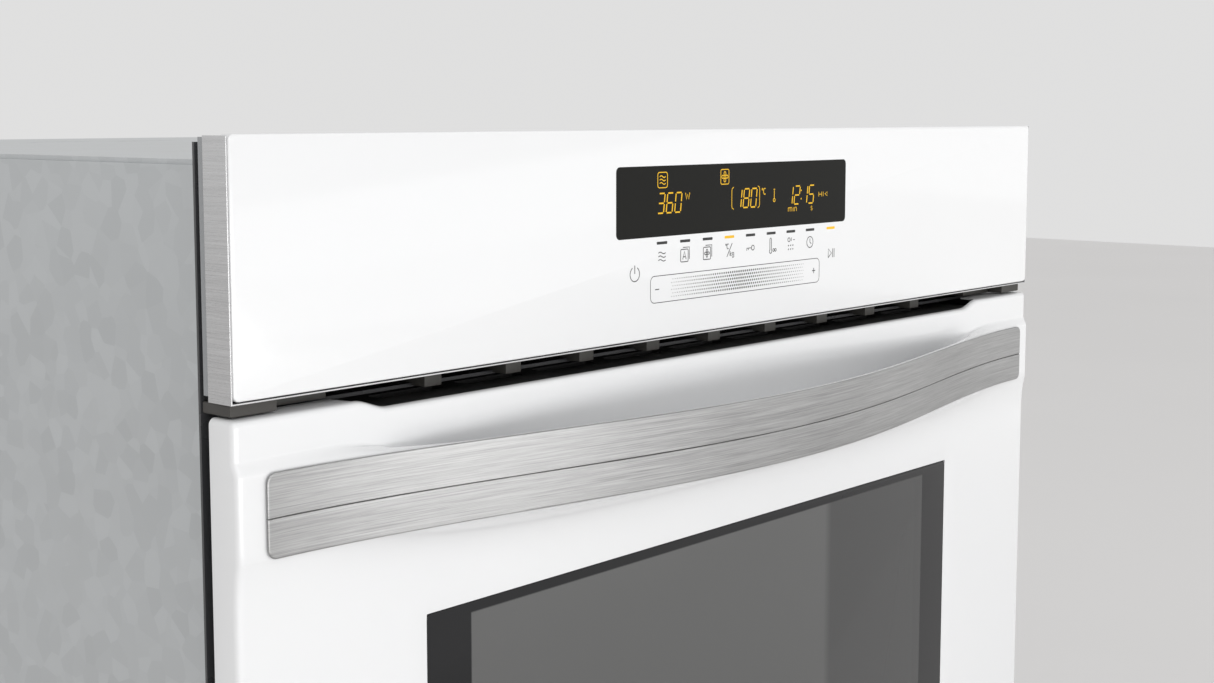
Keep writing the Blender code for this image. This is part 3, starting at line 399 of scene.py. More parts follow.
def gripSection(x, row, part):
    # (outward, height) along the section at x: flare, seat, lip, pocket wall, pocket floor, back wall
    seat = bow(x) + front["seatProud"]
    low, high = front["plateBottom"], front["lipStart"]
    if part == "flare":
        t = 1 - (1 - row) ** 2
        return seat * t ** front["flarePower"], front["gripBottom"] + (low - front["gripBottom"]) * t
    if part == "seat":
        return seat, low + (high - low) * row
    inner = seat - front["lipThick"]
    opened = smooth((inner - 0.5) / front["openRun"])
    floor = front["pocketFloor"] + front["shallow"] * (1 - opened)
    wallLow = floor + front["floorRound"]
    top = doorTop(x) - front["edgeRound"]
    deep = front["scoop"] * opened
    if part == "lip":
        turn = math.pi * row
        back = front["lipThick"] * (1 - math.cos(turn)) / 2
        openAt = (seat - back, high + front["lipRise"] * math.sin(turn))
        share = row * 0.4
    elif part == "wall":
        openAt = (inner, high + (wallLow - high) * row)
        share = 0.4 + 0.3 * row
    elif part == "floor":
        turn = math.pi * row
        dip = front["floorRound"] * math.sin(turn) ** 0.8
        openAt = (-deep + (inner + deep) * (1 + math.cos(turn)) / 2, wallLow - dip)
        share = 0.7 + 0.3 * row
    else:
        share = 1.0
        openAt = (-deep * (1 - smooth(row / 0.8)), wallLow + (top - wallLow) * row)
    shutLow = high + 1.0
    shutEnd = high + 7.0
    shutAt = (seat * (1 - smooth(share)), shutLow + (shutEnd - shutLow) * share)
    if part == "back":
        shutAt = (0.0, shutEnd + (top - shutEnd) * row)
    return tuple(a + (b - a) * opened for a, b in zip(shutAt, openAt))


def windowDistance(x, z):
    # how far a point lies outside the rounded window opening
    radius = front["windowRound"]
    middle = (front["windowBottom"] + front["windowTop"]) / 2
    dx = abs(x) - front["windowHalf"] + radius
    dz = abs(z - middle) - (front["windowTop"] - front["windowBottom"]) / 2 + radius
    return math.hypot(max(dx, 0.0), max(dz, 0.0)) + min(max(dx, dz), 0.0) - radius


def frontColumns():
    half = [(0.0, 0), (186.0, 44), (200.5, 6), (204.5, 5), (218.0, 10), (224.0, 3)]
    half += [(240.0, 12), (285.0, 18), (294.9, 5), (297.5, 6)]
    right = spaced(half)
    return [-x for x in reversed(right[1:])] + right


def frontRows():
    stops = [(11.0, 0), (13.6, 6), (86.0, 8), (97.0, 8), (101.0, 4)]
    stops += [(104.0, 2), (386.0, 14), (396.0, 6), (399.0, 2), (403.0, 5)]
    rows = [("flat", z) for z in spaced(stops)]
    for part, steps in (("flare", 26), ("seat", 8), ("lip", 12), ("wall", 8), ("floor", 12), ("back", 16)):
        rows += [(part, k / steps) for k in range(0 if part == "flare" else 1, steps + 1)]
    rows += [("top", k / 6) for k in range(1, 7)]
    return rows


def edgeDistance(x, z):
    # how far a point lies inside the outline, with rounded corners
    radius = front["edgeRound"]
    dx = front["halfWidth"] - abs(x)
    dz = min(z - front["bottom"], doorTop(x) - z)
    if dx < radius and dz < radius:
        return radius - math.hypot(radius - dx, radius - dz)
    return min(dx, dz)


def roundCorner(x, z):
    # moves points of the outline's square corners onto rounded ones
    radius = front["edgeRound"]
    top = doorTop(x)
    dx = front["halfWidth"] - abs(x)
    dzLow, dzHigh = z - front["bottom"], top - z
    if dx >= radius or min(dzLow, dzHigh) >= radius:
        return x, z
    a = (radius - dx) / radius
    b = (radius - min(dzLow, dzHigh)) / radius
    across = a * math.sqrt(1 - b * b / 2) * radius
    up = b * math.sqrt(1 - a * a / 2) * radius
    newX = math.copysign(front["halfWidth"] - radius + across, x)
    newZ = front["bottom"] + radius - up if dzLow < dzHigh else top - radius + up
    return newX, newZ


def frontPoint(x, part, row):
    if part == "flat":
        out, z = 0.0, row
    elif part == "top":
        top = doorTop(x)
        out, z = 0.0, top - front["edgeRound"] * (1 - row)
    else:
        out, z = gripSection(x, row, part)
    x, z = roundCorner(x, z)
    roll = max(windowDistance(x, z), 0.0) / front["windowRoll"]
    if roll < 1 and part in ("flat", "flare"):
        out -= front["rollDepth"] * (1 - roll) ** 2.2
    radius = front["edgeRound"]
    inside = edgeDistance(x, z)
    if inside < radius:
        out -= radius - math.sqrt(max(radius**2 - (radius - inside) ** 2, 0.0))
    return (x * mm, -(front["outer"] + out) * mm, z * mm)


def makeDoorFront():
    columns, rows = frontColumns(), frontRows()
    deselectAll()
    bpy.ops.mesh.primitive_grid_add(x_subdivisions=len(columns) - 1, y_subdivisions=len(rows) - 1, size=1)
    obj = bpy.context.object
    places = []
    for part, row in rows:
        places += [frontPoint(x, part, row) for x in columns]
    for vertex, place in zip(obj.data.vertices, places):
        vertex.co = place
    shape = bmesh.new()
    shape.from_mesh(obj.data)
    half = front["windowHalf"] * mm
    low, high = front["windowBottom"] * mm, front["windowTop"] * mm
    hole = []
    for face in shape.faces:
        middle = face.calc_center_median()
        if abs(middle.x) < half and low < middle.z < high and middle.y > -0.28:
            hole.append(face)
    bmesh.ops.delete(shape, geom=hole, context="FACES")
    bmesh.ops.recalc_face_normals(shape, faces=shape.faces)
    shape.faces.ensure_lookup_table()
    if shape.faces[0].normal.y > 0:
        bmesh.ops.reverse_faces(shape, faces=shape.faces)
    rim = []
    for edge in (e for e in shape.edges if e.is_boundary):
        places = [v.co for v in edge.verts]
        beside = min(abs(place.x) for place in places) > half + 2 * mm
        under = max(place.z for place in places) < low - 10 * mm
        over = min(place.z for place in places) > high + 10 * mm
        if beside or under or over:
            rim.append(edge)
    grown = bmesh.ops.extrude_edge_only(shape, edges=rim)
    for item in grown["geom"]:
        if isinstance(item, bmesh.types.BMVert):
            short = abs(item.co.x) < 0.2401 and item.co.z > 0.48
            item.co.y = (front["topReturn"] if short else front["backY"]) * mm
    shape.to_mesh(obj.data)
    shape.free()
    applyModifier(obj, "SOLIDIFY", thickness=front["sheet"] * mm, offset=-1.0)
    for side in (-1, 1):
        # a slot for the hinge arm in the lower edge
        x = side * front["hingeX"]
        reach = front["armSlotHalf"]
        low3, high3 = (
            [v * mm for v in (x + shift, y, z)]
            for shift, y, z in zip((-reach, reach), front["armSlotYs"], front["armSlotZs"])
        )
        slot = roundedBox("armSlot", low3, high3)
        applyModifier(obj, "BOOLEAN", operation="DIFFERENCE", object=slot)
        bpy.data.objects.remove(slot)
    smoothShade(obj, 50)
    settle(obj, "doorFront")
    return give(obj, whiteEnamel, "door", ["door_skin", "door_grip"])


makeDoorFront()
print("door front made")


# ---- dark cap that closes the door's top ----
cap = {
    "end": 239.8,
    "low": 486.8,
    "high": 488.7,
    "drop": 0.5,
    "edge": 0.25,
    "slotEdge": 1.5,
    "ys": (-260.9, -229.8),
    "slotPitch": 48.0,
    "slotHalf": 18.0,
    "slotYs": (-243.0, -235.0),
}


def extrudedOutline(name, points, ys, edge):
    # a closed (x, z) outline given depth, with softened edges
    mesh = bpy.data.meshes.new(name)
    mesh.from_pydata([(x * mm, ys[0] * mm, z * mm) for x, z in points], [], [list(range(len(points)))])
    obj = bpy.data.objects.new(name, mesh)
    bpy.context.scene.collection.objects.link(obj)
    activate(obj)
    bpy.ops.object.mode_set(mode="EDIT")
    bpy.ops.mesh.select_all(action="SELECT")
    bpy.ops.mesh.extrude_region_move(TRANSFORM_OT_translate={"value": (0, (ys[1] - ys[0]) * mm, 0)})
    bpy.ops.mesh.select_all(action="SELECT")
    bpy.ops.mesh.normals_make_consistent(inside=False)
    bpy.ops.object.mode_set(mode="OBJECT")
    bevelEdges(obj, edge, 2, 50)
    smoothShade(obj, 40)
    return settle(obj, name)


def makeTopCap():
    end, low = cap["end"], cap["low"]
    steps = 48
    xs = [-end + 2 * end * k / steps for k in range(steps + 1)]
    dipEnd = front["halfWidth"] - front["earWidth"] - front["dipRun"]
    xs = sorted(xs + [side * (dipEnd + front["dipRun"] * k / 6) for side in (-1, 1) for k in range(6)])
    top = [(x, min(doorTop(x) - cap["drop"], cap["high"])) for x in xs]
    obj = extrudedOutline("doorCap", [(-end, low), (end, low)] + top[::-1], cap["ys"], cap["edge"])
    slots = []
    for k in range(-4, 5):
        x = cap["slotPitch"] * k
        low3 = ((x - cap["slotHalf"]) * mm, cap["slotYs"][0] * mm, (low - 2) * mm)
        high3 = ((x + cap["slotHalf"]) * mm, cap["slotYs"][1] * mm, (low + 8) * mm)
        slots.append(roundedBox("capSlot", low3, high3, cap["slotEdge"] * mm))
    cutter = joinPieces(slots, "capSlots")
    applyModifier(obj, "BOOLEAN", operation="DIFFERENCE", object=cutter)
    bpy.data.objects.remove(cutter)
    smoothShade(obj, 40)
    return give(obj, capPlastic, "door", ["door_top_cap"])


capPlastic = plainFinish(
    "capPlastic", (0.012, 0.012, 0.012), (0.017, 0.017, 0.016), (0.4, 0.55), grain=1400.0, bump=0.2,
    dust=0.05,
)
makeTopCap()
print("door cap made")


# ---- brushed plate on the grip ----
plate = {
    "half": 285.4,
    "low": 440.9,
    "high": 473.1,
    "proud": 3.5,
    "thick": 1.2,
    "corner": 4.0,
    "groove": 456.2,
    "grooveWide": 0.6,
    "grooveDeep": 0.5,
    "edge": 0.5,
}


def platePoint(x, z):
    # rounds the corners, follows the bow and sinks the engraved line
    radius = plate["corner"]
    dx = plate["half"] - abs(x)
    dz = min(z - plate["low"], plate["high"] - z)
    inside = min(dx, dz)
    if dx < radius and dz < radius:
        a, b = (radius - dx) / radius, (radius - dz) / radius
        across = a * math.sqrt(1 - b * b / 2) * radius
        up = b * math.sqrt(1 - a * a / 2) * radius
        inside = radius - math.hypot(across, up)
        lower = z - plate["low"] < plate["high"] - z
        x = math.copysign(plate["half"] - radius + across, x)
        z = plate["low"] + radius - up if lower else plate["high"] - radius + up
    out = bow(x) + plate["proud"]
    edge = plate["edge"]
    if inside < edge:
        out -= edge - math.sqrt(max(edge**2 - (edge - inside) ** 2, 0.0))
    off = abs(z - plate["groove"]) / (plate["grooveWide"] / 2)
    if off < 1:
        out -= plate["grooveDeep"] * (1 - off)
    return (x * mm, -(front["outer"] + out) * mm, z * mm)


def makeHandlePlate():
    half = plate["half"]
    right = spaced([(0.0, 0), (half - 4.0, 110), (half - 0.5, 7), (half, 4)])
    columns = [-x for x in reversed(right[1:])] + right
    groove, wide = plate["groove"], plate["grooveWide"] / 2
    rows = spaced([(plate["low"], 0), (plate["low"] + 0.5, 4), (plate["low"] + 4.0, 6), (groove - wide, 4),
                   (groove, 3), (groove + wide, 3), (plate["high"] - 4.0, 5), (plate["high"] - 0.5, 6),
                   (plate["high"], 4)])
    deselectAll()
    bpy.ops.mesh.primitive_grid_add(x_subdivisions=len(columns) - 1, y_subdivisions=len(rows) - 1, size=1)
    obj = bpy.context.object
    places = [platePoint(x, z) for z in rows for x in columns]
    for vertex, place in zip(obj.data.vertices, places):
        vertex.co = place
    activate(obj)
    bpy.ops.object.mode_set(mode="EDIT")
    bpy.ops.mesh.select_all(action="SELECT")
    bpy.ops.mesh.normals_make_consistent(inside=False)
    bpy.ops.object.mode_set(mode="OBJECT")
    if obj.data.polygons[0].normal.y > 0:
        obj.data.flip_normals()
    applyModifier(obj, "SOLIDIFY", thickness=plate["thick"] * mm, offset=-1.0)
    smoothShade(obj, 50)
    settle(obj, "handlePlate")
    return give(obj, brushedSteel, "door", ["handle_plate"])


def makeBrushedSteel(name, dark, light, low, high, height):
    material, tree, shader, place = startMaterial(name, {"Metallic": 1.0, "Anisotropic": 0.5})
    brush = placeGroup(tree, brushGroup, place)
    streak = ramp(tree, brush.outputs["Tone"], 0.36, 0.64)
    slow = ramp(tree, noise(tree, stretched(tree, place, (1.0, 1.0, 0.3)), 7.0, 2.0), 0.3, 0.7)
    tone = mixColour(tree, streak, dark, light)
    dimmed = mixColour(tree, 0.86, (0.0, 0.0, 0.0), tone)
    tree.links.new(mixColour(tree, slow, dimmed, tone), shader.inputs["Base Color"])
    tree.links.new(ramp(tree, brush.outputs["Tone"], 0.35, 0.65, low, high), shader.inputs["Roughness"])
    addBump(tree, shader, brush.outputs["Height"], height, 0.00005)
    return material


brushedSteel = makeBrushedSteel("brushedSteel", (0.30, 0.30, 0.30), (0.50, 0.50, 0.498), 0.28, 0.4, 0.3)
makeHandlePlate()
print("handle plate made")


# ---- control panel: white glass with a display and printed symbols ----
panel = {
    "half": 296.6,
    "bottom": 499.8,
    "top": 595.0,
    "corner": 2.5,
    "edge": 0.7,
    "face": -264.0,
    "back": -258.0,
    "printProud": 0.03,
    "displayX": (-89.0, 94.7),
    "displayZ": (546.2, 578.5),
    "displayCorner": 2.4,
    "slant": 0.13,
    "stroke": 0.38,
    "line": 0.25,
    "barZ": 543.3,
    "bars": (-56.8, -39.8, -22.7, -5.7, 11.4, 28.6, 45.5, 62.5, 81.3),
    "litBars": (-5.7, 81.3),
    "iconZ": 537.0,
    "buttonZ": 530.2,
    "sliderX": (-65.0, 71.2),
    "sliderZ": (516.0, 528.3),
    "powerAt": (-76.1, 530.2),
    "playX": 82.0,
    "digit": (556.9, 4.3, 9.0),
    "barHalf": (3.75, 0.65),
}


def softPlate(name, xs, ys, zs, corner, edge, segments=6):
    # a plate with rounded corners whose front edge is softened
    deselectAll()
    middle = Vector(((xs[0] + xs[1]) / 2, (ys[0] + ys[1]) / 2, (zs[0] + zs[1]) / 2)) * mm
    size = Vector((xs[1] - xs[0], ys[1] - ys[0], zs[1] - zs[0])) * mm
    bpy.ops.mesh.primitive_cube_add(size=1, location=middle, scale=size)
    obj = bpy.context.object
    bpy.ops.object.transform_apply(location=True, rotation=True, scale=True)
    for stage, (amount, steps) in enumerate(((corner, segments), (edge, 3))):
        if not amount:
            continue
        bpy.ops.object.mode_set(mode="EDIT")
        shape = bmesh.from_edit_mesh(obj.data)
        front = min(v.co.y for v in shape.verts)
        for part in (*shape.faces, *shape.edges, *shape.verts):
            part.select = False
        for item in shape.edges:
            a, b = item.verts
            if stage == 0:
                item.select_set(abs(a.co.y - b.co.y) > 1e-6)
            else:
                item.select_set(max(a.co.y, b.co.y) < front + 1e-6)
        bmesh.update_edit_mesh(obj.data)
        bpy.ops.mesh.bevel(offset=amount * mm, segments=steps, affect="EDGES")
        bpy.ops.object.mode_set(mode="OBJECT")
    smoothShade(obj, 35)
    return settle(obj, name)


def glowInk(name, colour, strength):
    # lit print: an even glow with a slight flicker from stroke to stroke
    material, tree, shader, place = startMaterial(name, {"Roughness": 0.5, "Emission Strength": strength})
    tone = ramp(tree, noise(tree, place, 120.0, 2.0), 0.3, 0.7)
    shade = tuple(0.86 * v for v in colour)
    mixed = mixColour(tree, tone, colour, shade)
    tree.links.new(mixed, shader.inputs["Emission Color"])
    shader.inputs["Base Color"].default_value = (0.02, 0.012, 0.0, 1.0)
    return material


whiteGlass = plainFinish(
    "whiteGlassPanel", (0.83, 0.835, 0.84), (0.81, 0.815, 0.822), (0.06, 0.10), grain=300.0, bump=0.0,
    dust=0.015, **{"Coat Weight": 0.6, "Coat Roughness": 0.03},
)
displayGlass = plainFinish(
    "displayGlass", (0.0185, 0.0185, 0.0170), (0.0165, 0.0165, 0.0155), (0.12, 0.16), grain=300.0,
    bump=0.0, dust=0.0, **{"Specular IOR Level": 0.04},
)
amberInk = glowInk("amberInk", (0.88, 0.50, 0.0), 1.15)
greyInk = plainFinish(
    "greyInk", (0.065, 0.065, 0.065), (0.045, 0.045, 0.045), (0.4, 0.5), grain=800.0, dust=0.0
)
blackInk = plainFinish(
    "blackInk", (0.010, 0.010, 0.010), (0.014, 0.014, 0.014), (0.3, 0.4), grain=800.0, dust=0.0
)


def arc(x, z, radius, start, end, steps=12, high=None):
    high = radius if high is None else high
    angles = [math.radians(start + (end - start) * k / steps) for k in range(steps + 1)]
    return [(x + radius * math.cos(a), z + high * math.sin(a)) for a in angles]


def frameLine(x, z, wide, high, corner):
    # a closed rounded rectangle about (x, z)
    a, b = wide / 2 - corner, high / 2 - corner
    points = []
    for cx, cz, start in ((a, b, 0), (-a, b, 90), (-a, -b, 180), (a, -b, 270)):
        points += arc(x + cx, z + cz, corner, start, start + 90, 4)
    return points + points[:1]


def digitLines(shown, x, z, wide, high):
    # seven strokes per digit, slanted to the right
    lines = []
    a, b = wide / 2, high / 2
    gap = 0.42
    strokes = {
        "top": [(-a + gap, 2 * b), (a - gap, 2 * b)],
        "middle": [(-a + gap, b), (a - gap, b)],
        "bottom": [(-a + gap, 0), (a - gap, 0)],
        "upperLeft": [(-a, b + gap), (-a, 2 * b - gap)],
        "upperRight": [(a, b + gap), (a, 2 * b - gap)],
        "lowerLeft": [(-a, gap), (-a, b - gap)],
        "lowerRight": [(a, gap), (a, b - gap)],
    }
    lit = {
        "0": "top bottom upperLeft upperRight lowerLeft lowerRight",
        "1": "upperRight lowerRight",
        "2": "top upperRight middle lowerLeft bottom",
        "3": "top upperRight middle lowerRight bottom",
        "5": "top upperLeft middle lowerRight bottom",
        "6": "top upperLeft middle lowerLeft lowerRight bottom",
        "8": "top middle bottom upperLeft upperRight lowerLeft lowerRight",
    }
    for stroke in lit[shown].split():
        lines.append([(x + px + panel["slant"] * (pz - b), z + pz) for px, pz in strokes[stroke]])
    return lines


def printLines(name, lines, radius, material):
    y = (panel["face"] - panel["printProud"]) * mm
    paths = [[(x * mm, y, z * mm) for x, z in line] for line in lines]
    obj = wire(name, paths, radius * mm, resolution=1, flat=0.12)
    return give(obj, material, "housing")


def wavesIcon(x, z, wide, pitch, tall):
    lines = []
    for row in (-1, 0, 1):
        steps = [k / 12 for k in range(13)]
        middle = z + row * pitch
        lines.append([(x - wide / 2 + wide * t, middle + tall * math.sin(2 * math.pi * t)) for t in steps])
    return lines


def fanIcon(x, z, radius):
    lines = []
    for k in range(4):
        turn = math.radians(90 * k)
        petal = arc(radius * 0.62, 0.0, radius * 0.38, 0, 360, 10, radius * 0.3)
        lines.append([
            (x + px * math.cos(turn) - pz * math.sin(turn), z + px * math.sin(turn) + pz * math.cos(turn))
            for px, pz in petal
        ])
    return lines


def degreeC(x, z, high):
    ring = arc(x - high * 0.42, z + high * 0.36, high * 0.13, 0, 360, 8)
    return [ring, arc(x + high * 0.22, z, high * 0.36, 55, 305, 10, high * 0.5)]


def makeDisplay():
    xs, zs = panel["displayX"], panel["displayZ"]
    face = panel["face"]
    window = softPlate("displayWindow", xs, (face - 0.02, face + 0.6), zs, panel["displayCorner"], 0.0)
    give(window, displayGlass, "housing")
    shown = [(-57.4 + 6.2 * k, digit) for k, digit in enumerate("360")]
    shown += [(1.6 + 6.1 * k, digit) for k, digit in enumerate("180")]
    shown += [(44.6, "1"), (50.6, "2"), (57.4, "1"), (63.2, "5")]
    lines = []
    for x, digit in shown:
        lines += digitLines(digit, x, *panel["digit"])
    printLines("displayDigits", lines, panel["stroke"], amberInk)
    fine = wavesIcon(-56.5, 572.0, 4.2, 1.55, 0.42) + [frameLine(-56.5, 572.0, 7.0, 7.0, 1.2)]
    fine += fanIcon(-9.6, 572.2, 2.5) + [frameLine(-9.6, 572.2, 6.4, 7.0, 0.9)]
    fine += [[(-39.7, 565.6), (-38.9, 562.6), (-38.1, 564.9), (-37.3, 562.6), (-36.5, 565.6)]]
    fine += degreeC(22.2, 564.2, 3.0)
    for side, x in ((-1, -4.0), (1, 18.6)):
        tip = x - side * 1.5
        near = x - side * 0.3
        fine.append([(tip, 567.0), (near, 566.4), (x, 565.4), (x, 558.0), (near, 557.0), (tip, 556.4)])
    fine += [
        [(30.9, 564.4), (30.9, 560.4)], arc(30.9, 559.6, 0.8, 90, 450, 10),
        [(30.3, 564.9), (31.5, 564.9)],
    ]
    fine += [arc(54.2, z, 0.22, 0, 360, 6) for z in (559.4, 563.6)]
    printLines("displaySigns", fine, 0.24, amberInk)
    small = [
        [(43.0, 553.4), (43.0, 555.3)], arc(43.8, 554.6, 0.8, 180, 0, 6), [(44.6, 554.6), (44.6, 553.4)]
    ]
    small += [
        arc(45.4, 554.6, 0.8, 180, 0, 6), [(46.2, 554.6), (46.2, 553.4)], [(47.4, 553.4), (47.4, 555.3)]
    ]
    small += [
        [(48.6, 553.4), (48.6, 555.3)], arc(49.4, 554.6, 0.8, 180, 0, 6), [(50.2, 554.6), (50.2, 553.4)]
    ]
    small += [arc(63.6, 554.8, 0.6, 30, 270, 8, 0.5), arc(63.6, 553.8, 0.6, 90, -150, 8, 0.5)]
    small += [
        [(70.0, 559.9), (70.0, 562.3)], [(70.0, 561.1), (72.6, 561.1)], [(72.6, 559.9), (72.6, 562.3)]
    ]
    small += [[(74.0, 559.9), (74.0, 562.3)], [(75.6, 561.1), (77.6, 562.2), (77.6, 560.0), (75.6, 561.1)]]
    printLines("displayMarks", small, 0.17, amberInk)


def moved(lines, x, z):
    return [[(x + px, z + pz) for px, pz in line] for line in lines]


def keySymbols():
    # the strokes of each key's symbol about its own centre, from left to right
    card = [frameLine(-0.5, -0.5, 5.6, 5.8, 0.6), [(-1.6, 3.3), (3.2, 3.3), (3.2, -2.3)]]
    letter = [[(-1.8, -2.3), (-0.5, 1.4), (0.8, -2.3)], [(-1.3, -1.1), (0.3, -1.1)]]
    units = degreeC(-1.6, 1.8, 2.4)
    units += [
        [(-1.9, -3.2), (2.3, 3.2)], [(0.6, -0.6), (0.6, -2.9)], [(1.7, -1.4), (0.6, -2.2), (1.8, -2.9)]
    ]
    units += [arc(3.0, -2.0, 0.7, 0, 360, 8), arc(3.0, -3.0, 0.7, 10, -160, 6)]
    lock = [
        arc(2.0, 0.0, 1.2, 0, 360, 12), [(0.8, 0.0), (-3.0, 0.0), (-3.0, -1.2)],
        [(-1.8, 0.0), (-1.8, -1.0)],
    ]
    probe = [[(-1.0, 3.2), (-1.0, -2.2)], [(0.3, 3.2), (0.3, -2.2)]]
    probe += [arc(-0.35, 3.2, 0.65, 0, 180, 6), arc(-0.35, -2.7, 1.0, 60, -240, 10)]
    probe += [arc(x, -2.2, 0.7, 0, 360, 8) for x in (2.2, 3.8)]
    frost = [arc(-1.9 + 1.9 * k, -2.6 + 1.9 * row, 0.22, 0, 360, 6) for k in range(3) for row in (0, 1)]
    frost += [arc(-1.6, 2.2, 1.0, 0, 360, 10), [(0.4, 3.2), (0.4, 1.4)], [(2.2, 2.0), (3.4, 2.0)]]
    clock = [arc(0.0, 0.0, 2.8, 0, 360, 18), [(0.0, 1.8), (0.0, 0.0), (1.2, -0.9)]]
    waves = wavesIcon(0.0, 0.0, 5.2, 1.7, 0.4)
    return [waves, card + letter, card + fanIcon(-0.5, -0.5, 1.9), units, lock, probe, frost, clock]


def makeSymbols():
    xs = panel["bars"]
    lines = []
    for x, symbol in zip(xs, keySymbols()):
        lines += moved(symbol, x, panel["iconZ"])
    power = [arc(0.0, 0.0, 3.3, 60, -240, 18), [(0.0, 4.0), (0.0, 0.2)]]
    lines += moved(power, *panel["powerAt"])
    play = [[(-2.6, -2.3), (-2.6, 2.3), (0.4, 0.0), (-2.6, -2.3)]]
    play += [[(x, -2.3), (x, 2.3)] for x in (1.4, 2.8)]
    lines += moved(play, panel["playX"], panel["buttonZ"])
    printLines("panelSymbols", lines, panel["line"], greyInk)
    for x in xs:
        material = amberInk if x in panel["litBars"] else blackInk
        face = panel["face"]
        wide, high = panel["barHalf"]
        bar = softPlate(f"statusBar{xs.index(x)}", (x - wide, x + wide), (face - 0.04, face + 0.3),
                        (panel["barZ"] - high, panel["barZ"] + high), 0.3, 0.0, 3)
        give(bar, material, "housing")


def makeSlider():
    xs, zs = panel["sliderX"], panel["sliderZ"]
    middleX, middleZ = (xs[0] + xs[1]) / 2, (zs[0] + zs[1]) / 2
    corner = 2.6
    wide, high = xs[1] - xs[0], zs[1] - zs[0]
    outline = frameLine(middleX, middleZ, wide, high, corner)
    signs = [[(low, middleZ), (low + 2.8, middleZ)] for low in (xs[0] + 3.4, xs[1] - 6.4)]
    signs.append([(xs[1] - 5.0, middleZ - 1.4), (xs[1] - 5.0, middleZ + 1.4)])
    printLines("sliderSigns", signs, 0.28, greyInk)
    printLines("sliderOutline", [outline], 0.2, greyInk)
    deselectAll()
    y = (panel["face"] - 0.03) * mm
    bpy.ops.mesh.primitive_circle_add(vertices=8, radius=mm, fill_type="NGON", rotation=(math.pi / 2, 0, 0))
    dot = bpy.context.object
    bpy.ops.object.transform_apply(location=False, rotation=True, scale=False)
    dots = []
    columns, rows, pitch = 62, 6, 1.62
    for column in range(-columns // 2, columns // 2 + 1):
        for row in range(rows):
            x = middleX + pitch * (column + 0.5 * (row % 2)) * 1.05
            z = middleZ + pitch * (row - (rows - 1) / 2)
            reach = abs(x - middleX) / (wide / 2 - 9.0)
            if reach > 1:
                continue
            radius = 0.16 + 0.44 * (1 - reach) ** 0.8
            copy = dot.copy()
            copy.data = dot.data.copy()
            bpy.context.scene.collection.objects.link(copy)
            for vertex in copy.data.vertices:
                vertex.co = (vertex.co.x * radius + x * mm, y, vertex.co.z * radius + z * mm)
            dots.append(copy)
    bpy.data.objects.remove(dot)
    grid = joinPieces(dots, "sliderDots")
    if grid.data.polygons[0].normal.y > 0:
        grid.data.flip_normals()
    give(grid, greyInk, "housing")


def makeControlPanel():
    half, face = panel["half"], panel["face"]
    glass = softPlate("controlGlass", (-half, half), (face, panel["back"]), (panel["bottom"], panel["top"]),
                      panel["corner"], panel["edge"])
    give(glass, whiteGlass, "housing", ["control_panel_glass"])
    makeDisplay()
    makeSymbols()
    makeSlider()


makeControlPanel()
print("control panel made")


# ---- air outlet between the panel and the door ----
outlet = {
    "half": 274.2,
    "endX": 244.0,
    "pitch": 47.0,
    "wide": 9.5,
    "ys": (-251.0, -229.2),
    "top": 498.4,
    "ribLow": 491.6,
    "endLow": 493.7,
    "bar": 1.0,
    "edge": 0.35,
}


def makeOutlet():
    front, back = outlet["ys"]
    half, top, edge = outlet["half"], outlet["top"], outlet["edge"]

    def block(low, high):
        return roundedBox("outletBlock", [v * mm for v in low], [v * mm for v in high], edge * mm, 2)

    pieces = [block((-half, front, top - outlet["bar"]), (half, back, top))]
    for k in range(-4, 5):
        x, reach = outlet["pitch"] * k, outlet["wide"] / 2
        pieces.append(block((x - reach, front + 0.1, outlet["ribLow"]), (x + reach, back, top - 0.3)))
    for side in (-1, 1):
        xs = sorted((side * outlet["endX"], side * half))
        pieces.append(block((xs[0], front + 0.1, outlet["endLow"]), (xs[1], back, top - 0.2)))
    grille = joinPieces(pieces, "outletGrille")
    give(grille, ribPlastic, "housing", ["vent_grille"])


ribPlastic = plainFinish(
    "ribPlastic", (0.046, 0.044, 0.039), (0.058, 0.055, 0.050), (0.45, 0.6), grain=1400.0, bump=0.2
)
makeOutlet()
print("air outlet made")


# ---- glass in the door ----
pane = {
    "half": 204.6,
    "zs": (99.9, 402.1),
    "ys": (-263.25, -258.5),
    "clearHalf": 179.5,
    "clearZ": (127.0, 397.4),
    "shadeX": 84.0,
}


def inZone(tree, coordinate, low, high, soft):
    rise = ramp(tree, coordinate, low - soft, low + soft)
    fall = ramp(tree, coordinate, high - soft, high + soft, 1.0, 0.0)
    return mathNode(tree, "MULTIPLY", rise, fall)


